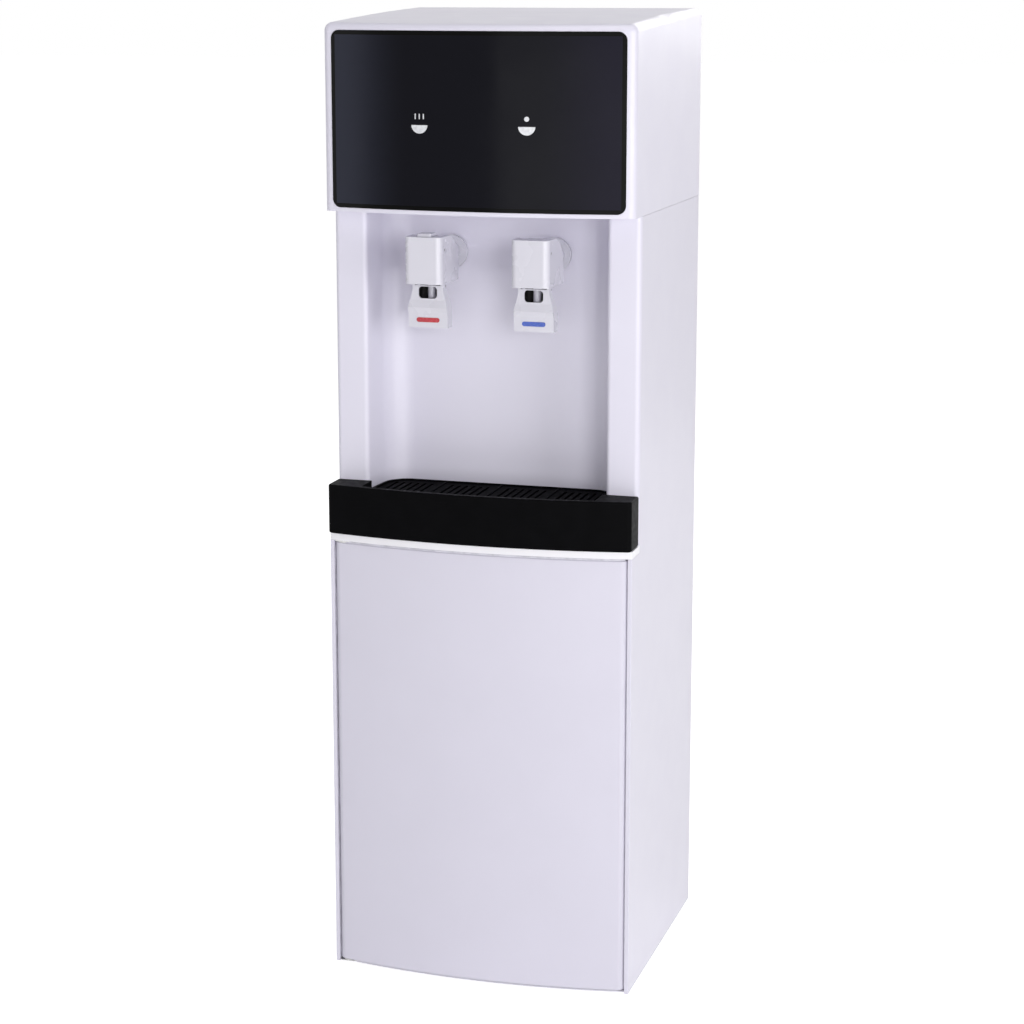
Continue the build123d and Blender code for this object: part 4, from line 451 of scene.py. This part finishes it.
foot_rubber = soft_rubber("foot rubber", (0.02, 0.02, 0.02))
seal_rubber = soft_rubber("seal rubber", (0.035, 0.035, 0.036))
# A near black sheet for the painted shade behind each nozzle.
shade_sheet_black = soft_rubber("shade sheet black", (0.004, 0.004, 0.004))
lip_rubber = soft_rubber("white lip rubber", (0.74, 0.73, 0.79))
tank_foam = foam_shell("tank foam", (0.78, 0.76, 0.68))
copper_pipe = brushed_steel("copper pipe", (0.72, 0.36, 0.22), 0.3, stretch=(1.0, 1.0, 1.0))
probe_clear = clear_plastic("probe plastic", (0.86, 0.90, 0.94), 0.2, 0.55)
hose_clear = clear_plastic("hose silicone", (0.90, 0.92, 0.94), 0.32, 0.6)
probe_grey = satin_plastic("probe cap grey", (0.42, 0.44, 0.48), 0.45)
guide_grey = satin_plastic("guide grey", (0.30, 0.32, 0.35), 0.5)
plunger_grey = satin_plastic("plunger grey", (0.35, 0.36, 0.38), 0.4)
board_green = satin_plastic("board green", (0.012, 0.09, 0.035), 0.45)
print("soft and clear finishes made")

# %% [markdown]
# ## Dress the loaded pieces
# Each loaded node keeps its mesh and gets its finish through its material
# slots. The list reads like the cooler's own list of parts.

# %% Give every node its finish
node_finish = {
    "base_pan": pan_paint,
    "left_side_panel": side_paint,
    "right_side_panel": side_paint,
    "rear_panel": zinc_grey,
    "compressor_deck": zinc_grey,
    "tank_shelf": zinc_grey,
    "feet": foot_rubber,
    "cabinet_screws": screw_steel,
    "tray_shelf": rim_white_painted_light,
    "alcove_housing": housing_white,
    "head_housing": housing_white,
    "fascia_panel": fascia_navy,
    "hot_light_lens": lens_white,
    "cold_light_lens": lens_white,
    "light_board": board_green,
    "hot_tap_body": tap_white,
    "cold_tap_body": tap_white,
    "hot_plunger": plunger_grey,
    "cold_plunger": plunger_grey,
    "lever_pins": pin_steel,
    "hot_lever": tap_white,
    "cold_lever": tap_white,
    "hot_mark": mark_red,
    "cold_mark": mark_blue,
    "hot_latch": tap_white,
    "tap_nuts": nut_white,
    "rubber_seals": seal_rubber,
    "drip_tray": tray_black,
    "drip_grille": grille_black,
    "door_skin": door_white_painted_shade,
    "door_liner": liner_white,
    "liner_screws": screw_steel,
    "hinge_bushes": nut_white,
    "hinge_plates": bracket_steel,
    "door_strike": bracket_steel,
    "door_magnet": magnet_brown,
    "bottle_guides": guide_grey,
    "suction_probe": probe_clear,
    "probe_cap": probe_grey,
    "probe_clip": guide_grey,
    "water_pump": pump_black,
    "pump_bracket": bracket_steel,
    "probe_hose": hose_clear,
    "water_hoses": hose_clear,
    "compressor": enamel_black,
    "cold_tank": tank_steel,
    "foam_jacket": tank_foam,
    "foam_lid": tank_foam,
    "hot_tank": tank_steel,
    "heater_band": bracket_steel,
    "copper_lines": copper_pipe,
    "condenser_tube": enamel_black,
    "condenser_wires": enamel_black,
    "condenser_brackets": bracket_steel,
    "switch_plate": switch_black,
    "hot_rocker": rocker_red,
    "cold_rocker": rocker_green,
    "power_inlet": switch_black,
    "drain_spout": nut_white,
    "drain_cap": switch_black,
}
for node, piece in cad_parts.items():
    finish = node_finish[node]
    if not piece.material_slots:
        piece.data.materials.append(finish)
    for pocket in piece.material_slots:
        pocket.material = finish
hose.data.materials.append(hose_clear)
print("dressed", len(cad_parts), "nodes")

# %% [markdown]
# ## Turned forms
# Screws, bolts and wires are all turned forms: a short outline of radius and
# height, carried round an axis. One helper makes the rings of points and joins
# them, and closes the ends that come to the axis. A second one ends such a
# mesh as a piece that rides on a body and takes its finish, and a third keeps
# its edges crisp.

# %% Helpers for small pieces
def turned(mesh, outline, place, axis, steps):
    """Carries an outline of (radius, along) round an axis that starts at place."""
    axis = Vector(axis).normalized()
    across = axis.orthogonal().normalized()
    beside = axis.cross(across)
    rings = []
    for radius, along in outline:
        centre = Vector(place) + along * axis
        if radius == 0.0:
            rings.append([mesh.verts.new(centre)])
            continue
        ring = []
        for step in range(steps):
            angle = 2 * math.pi * step / steps
            outward = math.cos(angle) * across + math.sin(angle) * beside
            ring.append(mesh.verts.new(centre + radius * outward))
        rings.append(ring)
    for lower, upper in zip(rings, rings[1:]):
        for step in range(steps):
            after = (step + 1) % steps
            if len(lower) == 1:
                mesh.faces.new((lower[0], upper[after], upper[step]))
            elif len(upper) == 1:
                mesh.faces.new((lower[step], lower[after], upper[0]))
            else:
                mesh.faces.new((lower[step], lower[after], upper[after], upper[step]))
    return rings


def end_piece(name, mesh, body, finish):
    """Turns a bmesh into a piece that rides on a body."""
    bmesh.ops.recalc_face_normals(mesh, faces=mesh.faces)
    for face in mesh.faces:
        face.smooth = True
    data = bpy.data.meshes.new(name)
    mesh.to_mesh(data)
    mesh.free()
    data.materials.append(finish)
    thing = bpy.data.objects.new(name, data)
    bpy.context.scene.collection.objects.link(thing)
    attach(thing, body)
    return thing


def keep_edges_crisp(thing, degrees=35.0):
    """Splits the shading at edges sharper than an angle."""
    thing.data.set_sharp_from_angle(angle=math.radians(degrees))


print("turning helpers ready")

# %% [markdown]
# ## Cross recessed screws
# The rear panel and the door's liner are held by pan head screws. On the real
# thing the eye reads them by their cross recess, which needs real depth. The
# domed head is turned, its top ring is joined to a cross shaped outline, and
# the cross goes down to a floor. The shank below keeps the solid screw's size.

# %% The form of a screw and of a hexagon
screw_steps = 24


def cross_screw(mesh, seat, axis, head_radius, head_height, shank_radius, shank_length):
    """A pan head screw whose head stands along axis from its seat."""
    axis = Vector(axis).normalized()
    outline = [
        (0.0, -shank_length),
        (0.7 * shank_radius, -shank_length),
        (shank_radius, -0.85 * shank_length),
        (shank_radius, 0.0),
        (0.97 * head_radius, 0.0),
        (head_radius, 0.12 * head_height),
        (0.98 * head_radius, 0.5 * head_height),
        (0.88 * head_radius, 0.85 * head_height),
        (0.72 * head_radius, head_height),
    ]
    rings = turned(mesh, outline, seat, axis, screw_steps)
    across = axis.orthogonal().normalized()
    beside = axis.cross(across)
    arm, half = 0.55 * head_radius, 0.13 * head_radius
    corners = [
        (arm, -half), (arm, half), (half, half), (half, arm), (-half, arm), (-half, half),
        (-arm, half), (-arm, -half), (-half, -half), (-half, -arm), (half, -arm), (half, -half),
    ]
    top = Vector(seat) + head_height * axis
    floor_centre = top - 0.55 * head_height * axis
    upper = [mesh.verts.new(top + a * across + b * beside) for a, b in corners]
    lower = [mesh.verts.new(floor_centre + 0.7 * (a * across + b * beside)) for a, b in corners]
    count = len(corners)
    for index in range(count):
        after = (index + 1) % count
        mesh.faces.new((upper[index], upper[after], lower[after], lower[index]))
    mesh.faces.new(lower)
    loop_edges = []
    for loop in (rings[-1], upper):
        for index in range(len(loop)):
            pair = (loop[index], loop[(index + 1) % len(loop)])
            loop_edges.append(mesh.edges.get(pair) or mesh.edges.new(pair))
    bmesh.ops.bridge_loops(mesh, edges=loop_edges)


def hex_block(mesh, foot, flats, height):
    """A hexagon with chamfered ends, standing on foot."""
    corner = flats / math.cos(math.pi / 6)
    outline = [
        (0.0, 0.0),
        (0.86 * corner, 0.0),
        (corner, 0.1 * height),
        (corner, 0.86 * height),
        (0.86 * corner, height),
        (0.0, height),
    ]
    turned(mesh, outline, foot, (0, 0, 1), 6)


print("a screw has", screw_steps, "steps round")

# %% [markdown]
# ## Screws and bolts of the cabinet
# Eight screws hold the rear panel to the sides, and four bolts with nuts hold
# the compressor through its rubber feet. They could be copies of one mesh, but
# they all ride on the cabinet and stand for one node, so they are drawn into
# one piece, at the places and sizes of the solid ones.

# %% Place the rear panel's screws and the compressor's bolts
rear_face = 0.1485
screw_columns = (-0.1645, 0.1645)
screw_levels = (0.060, 0.430, 0.640, 0.837)
screws = bmesh.new()
for x in screw_columns:
    for z in screw_levels:
        cross_screw(
            screws,
            (x, rear_face, z),
            (0, 1, 0),
            head_radius=0.0040,
            head_height=0.0022,
            shank_radius=0.0020,
            shank_length=0.0060,
        )
bolt_places = [(x, y) for x in (0.0, 0.120) for y in (-0.0025, 0.0935)]
bolt_foot, bolt_radius, bolt_length = 0.5005, 0.003, 0.0245
nut_foot, nut_half, nut_height, bolt_head_height = 0.5245, 0.0055, 0.0040, 0.0050
bolt_outline = [(0.0, 0.0), (bolt_radius, 0.0), (bolt_radius, bolt_length), (0.0, bolt_length)]
for x, y in bolt_places:
    turned(screws, bolt_outline, (x, y, bolt_foot), (0, 0, 1), 20)
    hex_block(screws, (x, y, nut_foot), nut_half, nut_height)
    hex_block(screws, (x, y, bolt_foot), nut_half, bolt_head_height)
panel_screws = end_piece("cross_head_screws_and_bolts", screws, "cabinet", screw_steel)
keep_edges_crisp(panel_screws)
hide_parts("cabinet_screws")
print("screws", len(screw_columns) * len(screw_levels), "bolts", len(bolt_places))

# %% [markdown]
# ## Screws of the door's liner
# Six smaller screws hold the liner to the door's skin, and show when the door
# is open. They are a piece of their own, because they swing with the door.

# %% Place the screws of the door's liner
liner_rear = -0.1375
liner_columns = (-0.1534, 0.1534)
liner_levels = (0.050, 0.255, 0.460)
screws = bmesh.new()
for x in liner_columns:
    for z in liner_levels:
        cross_screw(
            screws,
            (x, liner_rear, z),
            (0, 1, 0),
            head_radius=0.0032,
            head_height=0.0016,
            shank_radius=0.0017,
            shank_length=0.0020,
        )
door_screws = end_piece("door_liner_cross_screws", screws, "door", screw_steel)
keep_edges_crisp(door_screws)
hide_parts("liner_screws")
for piece, node in ((panel_screws, "cabinet_screws"), (door_screws, "liner_screws")):
    low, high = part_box(node)
    print(node, [round(v, 4) for v in low], [round(v, 4) for v in high])
    print(piece.name, len(piece.data.polygons), "faces")

# %% [markdown]
# ## The condenser's wires
# Behind the cabinet the condenser's tube carries two rows of thin drawn wires.
# They are round, with cut ends, and each is spot welded where it crosses the
# tube, which leaves a small flattened bead. Wires and beads are one piece,
# since on the real condenser they can't be taken apart.

# %% Round wires with their welds
wire_radius = 0.0008
wire_foot, wire_length = 0.140, 0.324
wire_end = 0.0003  # how far the cut end tapers
wire_pitch = 0.0104727
wires_in_row = 23
wire_rows = (0.1761, 0.1827)
tube_axis_y = 0.1794
crossings = [0.150 + 0.038 * level for level in range(9)]
weld_radius, weld_inset = 0.0010, 0.0006
weld_form = Matrix.Diagonal((1.4, 0.9, 1.3, 1.0))
wire_outline = [
    (0.0, 0.0),
    (0.75 * wire_radius, 0.0),
    (wire_radius, wire_end),
    (wire_radius, wire_length - wire_end),
    (0.75 * wire_radius, wire_length),
    (0.0, wire_length),
]
grid = bmesh.new()
for row_y in wire_rows:
    weld_y = row_y + weld_inset if row_y < tube_axis_y else row_y - weld_inset
    for count in range(wires_in_row):
        wire_x = (count - wires_in_row // 2) * wire_pitch
        turned(grid, wire_outline, (wire_x, row_y, wire_foot), (0, 0, 1), 8)
        for level in crossings:
            weld = Matrix.Translation((wire_x, weld_y, level)) @ weld_form
            bmesh.ops.create_icosphere(grid, subdivisions=1, radius=weld_radius, matrix=weld)
wires = end_piece("round_condenser_wires", grid, "cabinet", enamel_black)
keep_edges_crisp(wires, 50.0)
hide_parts("condenser_wires")
wire_count = len(wire_rows) * wires_in_row
print("wires", wire_count, "welds", wire_count * len(crossings), "faces", len(wires.data.polygons))

# %% [markdown]
# ## Painted shade in the levers
# Looking into the opening of each lever one sees the white nozzle against black, the shade of its
# deep hollow. A near black sheet lines the lever behind the nozzle and stands for that shade:
# painted shade. Seen from above it is a rounded U, wrapped from one arm round to the other, with
# shallow pleats. The sheet is drawn as a grid and thickened.

# %% Sheets of painted shade behind the nozzles
shade_half, shade_front, shade_rear, shade_corner = 0.0143, -0.1415, -0.1285, 0.0045
pleats, pleat_depth = 3, 0.00035


def shade_sheet_path(half, front, rear, corner):
    """Points of a rounded U in plan, from the left arm round to the right."""
    corner_x, corner_y = -half + corner, rear - corner
    points = [(-half, front), (-half, front + 0.35 * (corner_y - front)), (-half, corner_y)]
    for step in range(1, 8):
        turn = math.pi - step * math.pi / 16
        points.append((corner_x + corner * math.cos(turn), corner_y + corner * math.sin(turn)))
    points.append((corner_x, rear))
    mirrored = [(-x, y) for x, y in reversed(points)]
    return points + [(0.0, rear)] + mirrored


def nozzle_shade_sheet(name, centre, body):
    """A pleated sheet round the nozzle, open towards the front."""
    path = shade_sheet_path(shade_half, shade_front, shade_rear, shade_corner)
    foot, head, rows = 0.7665, 0.7868, 12
    sheet = bmesh.new()
    grid = []
    for row in range(rows + 1):
        share = row / rows
        pleat = pleat_depth * math.sin(share * pleats * 2 * math.pi) * math.sin(share * math.pi)
        line = []
        for index, (x, y) in enumerate(path):
            before, after = path[max(index - 1, 0)], path[min(index + 1, len(path) - 1)]
            along = Vector((after[0] - before[0], after[1] - before[1], 0.0)).normalized()
            outward = Vector((-along.y, along.x, 0.0))
            spot = Vector((centre + x, y, foot + share * (head - foot))) + pleat * outward
            line.append(sheet.verts.new(spot))
        grid.append(line)
    for lower, upper in zip(grid, grid[1:]):
        for index in range(len(path) - 1):
            sheet.faces.new((lower[index], lower[index + 1], upper[index + 1], upper[index]))
    shade_piece = end_piece(name, sheet, body, shade_sheet_black)
    wall = shade_piece.modifiers.new("wall", "SOLIDIFY")
    wall.thickness = 0.0011
    wall.offset = 0.0
    edge = shade_piece.modifiers.new("edge", "BEVEL")
    edge.width = 0.0003
    edge.segments = 2
    edge.limit_method = "ANGLE"
    edge.angle_limit = math.radians(60.0)
    return shade_piece


tap_centre = 0.0595
# Each lever carries a black sheet of painted shade behind its nozzle.
shade_sheets = [
    nozzle_shade_sheet("hot_nozzle_shade_sheet", -tap_centre, "hot_lever"),
    nozzle_shade_sheet("cold_nozzle_shade_sheet", tap_centre, "cold_lever"),
]
print("shade_sheets", [shade_piece.name for shade_piece in shade_sheets])

# %% [markdown]
# ## The white lip over the door
# The photograph shows hardly any seam round the door: a soft white lip closes
# it. Over the door a strip follows the bow of its upper edge and stops short of
# the rim above. The bow could be worked out again from its radius, but it is
# read from the door itself, by looking at it from the front at many places, so
# that the lip follows its face.

# %% The lip over the door
def face_depths(node, xs, height):
    """How far forward a node's face lies, at several places across."""
    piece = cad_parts[node]
    view = BVHTree.FromObject(piece, bpy.context.evaluated_depsgraph_get())
    depths = []
    for x in xs:
        hit = view.ray_cast(Vector((x, -0.4, height)), Vector((0.0, 1.0, 0.0)))[0]
        depths.append(hit.y)
    return depths


def join_rings(mesh, rings):
    """Skins over rings of equal count and closes both ends."""
    count = len(rings[0])
    for near, far in zip(rings, rings[1:]):
        for index in range(count):
            after = (index + 1) % count
            mesh.faces.new((near[index], near[after], far[after], far[index]))
    mesh.faces.new(rings[0])
    mesh.faces.new(list(reversed(rings[-1])))


def lip_along(mesh, spots, section):
    """Sweeps a small section, given as (inward, up), along spots in plan."""
    rings = []
    for index, spot in enumerate(spots):
        before, after = spots[max(index - 1, 0)], spots[min(index + 1, len(spots) - 1)]
        along = (after - before).normalized()
        inward = Vector((-along.y, along.x, 0.0))
        ring = []
        for depth, up in section:
            ring.append(mesh.verts.new(spot + depth * inward + Vector((0.0, 0.0, up))))
        rings.append(ring)
    join_rings(mesh, rings)


door_top = 0.500
look_level = 0.42  # a height at which the door's face is plain
lip_reach = 0.1655  # almost to the door's edge on either side
lip_steps = 40
lip_places = [lip_reach * (2 * step / lip_steps - 1) for step in range(lip_steps + 1)]
lip_spots = [
    Vector((x, depth, door_top))
    for x, depth in zip(lip_places, face_depths("door_skin", lip_places, look_level))
]
lip_section = [
    (0.0022, -0.0002),
    (0.0022, 0.0012),
    (0.0028, 0.0019),
    (0.0044, 0.0019),
    (0.0050, 0.0012),
    (0.0050, -0.0002),
]
strip = bmesh.new()
lip_along(strip, lip_spots, lip_section)
top_lip = end_piece("door_top_lip", strip, "door", lip_rubber)
keep_edges_crisp(top_lip, 60.0)
lip_middle = lip_spots[lip_steps // 2]
print("lip from", [round(v, 4) for v in lip_spots[0]], "over", [round(v, 4) for v in lip_middle])

# %% [markdown]
# ## The lips at the door's sides
# At its upright edges the door has the same soft lip, only thinner: the gap to
# the side panel is narrow, and the door has to swing past it. The edge is
# straight there, so a section is carried up it in four steps, with its ends
# drawn in.

# %% The lips at the door's sides
door_edge = 0.1674
lip_sink = 0.0001
side_section = [
    (0.0, -0.1592),
    (0.00022, -0.1590),
    (0.00030, -0.1580),
    (0.00030, -0.1550),
    (0.00015, -0.1535),
    (0.0, -0.1530),
]
side_levels = [(0.014, 0.3), (0.0145, 1.0), (0.4955, 1.0), (0.496, 0.3)]
edge_lips = bmesh.new()
for side in (-1, 1):
    rings = []
    for level, share in side_levels:
        ring = []
        for out, y in side_section:
            x = side * (door_edge - lip_sink + share * out)
            ring.append(edge_lips.verts.new((x, y, level)))
        rings.append(ring)
    join_rings(edge_lips, rings)
side_lips = end_piece("door_side_lips", edge_lips, "door", lip_rubber)
keep_edges_crisp(side_lips, 60.0)
print("side lips", len(side_lips.data.polygons), "faces")

# %% [markdown]
# ## The floor
# The photograph stands the cooler on plain white. A floor bright enough for
# that would throw too much light up at the cooler. So a large pale floor keeps
# a soft shadow, and glows only for the rays that are looked along: those of
# the camera, of gloss and of clear plastic. The glow lights nothing, and the
# cooler's colours stay.

# %% Floor
def flat_floor(half):
    """A square floor at the feet's underside."""
    sheet = bpy.data.meshes.new("floor")
    corners = [(-half, -half, 0.0), (half, -half, 0.0), (half, half, 0.0), (-half, half, 0.0)]
    sheet.from_pydata(corners, [], [(0, 1, 2, 3)])
    floor = bpy.data.objects.new("floor", sheet)
    bpy.context.scene.collection.objects.link(floor)
    return floor


def looked_along(nodes, links):
    """One for a ray of the camera, of gloss or of clear plastic, else nought."""
    ray = nodes.new("ShaderNodeLightPath")
    direct = nodes.new("ShaderNodeMath")
    direct.operation = "MAXIMUM"
    either = nodes.new("ShaderNodeMath")
    either.operation = "MAXIMUM"
    links.new(ray.outputs["Is Camera Ray"], direct.inputs[0])
    links.new(ray.outputs["Is Glossy Ray"], direct.inputs[1])
    links.new(direct.outputs["Value"], either.inputs[0])
    links.new(ray.outputs["Is Transmission Ray"], either.inputs[1])
    return either.outputs["Value"]


floor_lift = 0.76
floor = flat_floor(30.0)
floor_finish = plain_finish("floor white", (0.93, 0.93, 0.93), 0.6, specular=0.0)
floor_nodes, floor_links = floor_finish.node_tree.nodes, floor_finish.node_tree.links
lift = floor_nodes.new("ShaderNodeMath")
lift.operation = "MULTIPLY"
lift.inputs[1].default_value = floor_lift
floor_links.new(looked_along(floor_nodes, floor_links), lift.inputs[0])
shader_of(floor_finish).inputs["Emission Color"].default_value = (1.0, 1.0, 1.0, 1.0)
floor_links.new(lift.outputs["Value"], shader_of(floor_finish).inputs["Emission Strength"])
floor.data.materials.append(floor_finish)
print("floor lift", floor_lift)

# %% [markdown]
# ## The world
# The world does two jobs. It shows plain white behind the cooler and in what
# gloss and clear plastic see, and it lights the cooler evenly from all round,
# at a lower level, as the walls of a white studio would. The same test of the
# ray as on the floor chooses between the two.

# %% World
world_level = 0.275
world = bpy.data.worlds.new("studio")
bpy.context.scene.world = world
world.use_nodes = True
sky_nodes, sky_links = world.node_tree.nodes, world.node_tree.links
sky_nodes.clear()
sky_out = sky_nodes.new("ShaderNodeOutputWorld")
ambient = sky_nodes.new("ShaderNodeBackground")
ambient.inputs["Color"].default_value = (0.97, 0.96, 1.0, 1.0)
ambient.inputs["Strength"].default_value = world_level
backdrop = sky_nodes.new("ShaderNodeBackground")
backdrop.inputs["Color"].default_value = (1.0, 1.0, 1.0, 1.0)
backdrop.inputs["Strength"].default_value = 1.0
mix = sky_nodes.new("ShaderNodeMixShader")
sky_links.new(looked_along(sky_nodes, sky_links), mix.inputs["Fac"])
sky_links.new(ambient.outputs["Background"], mix.inputs[1])
sky_links.new(backdrop.outputs["Background"], mix.inputs[2])
sky_links.new(mix.outputs["Shader"], sky_out.inputs["Surface"])
print("world ambient", world_level)

# %% [markdown]
# ## The lamps
# Six soft lamps light the cooler, and all aim at its middle. Two keys stand far
# to the right, near the height of the taps: the taps' shadows fall to the left
# on the recess's wall, and the right column shades the corner behind it. A low
# lamp in front lights the door and the rim, and the others fill the left, the
# top and the rear, so that no side goes dark. Point lamps would be simpler, but
# their hard shadows aren't in the photograph.

# %% Lamps
def soft_lamp(name, place, target, size, watts):
    """A square-cornered area lamp that looks at a target."""
    lamp = bpy.data.lights.new(name, "AREA")
    lamp.shape = "RECTANGLE"
    lamp.size, lamp.size_y = size
    lamp.energy = watts
    holder = bpy.data.objects.new(name, lamp)
    bpy.context.scene.collection.objects.link(holder)
    holder.location = place
    aim = Vector(target) - Vector(place)
    holder.rotation_euler = aim.to_track_quat("-Z", "Y").to_euler()


middle = (0.0, 0.0, 0.6)
soft_lamp("right key", (1.7, -2.9, 1.0), middle, (0.9, 1.2), 34.5)
soft_lamp("side key", (2.9, -1.7, 1.0), middle, (0.9, 1.2), 29.0)
soft_lamp("low front fill", (0.3, -3.2, 0.7), middle, (2.0, 0.6), 7.5)
soft_lamp("left fill", (-2.6, -2.2, 1.2), middle, (1.6, 2.0), 13.0)
soft_lamp("top fill", (0.3, -0.6, 3.2), middle, (1.6, 1.6), 15.0)
soft_lamp("rear fill", (0.6, 3.2, 1.8), middle, (1.8, 1.8), 22.0)

# %% [markdown]
# ## The colour view
# The Standard view shows colours as they are written.

# %% Set the view
bpy.context.scene.view_settings.view_transform = "Standard"
bpy.context.view_layer.update()
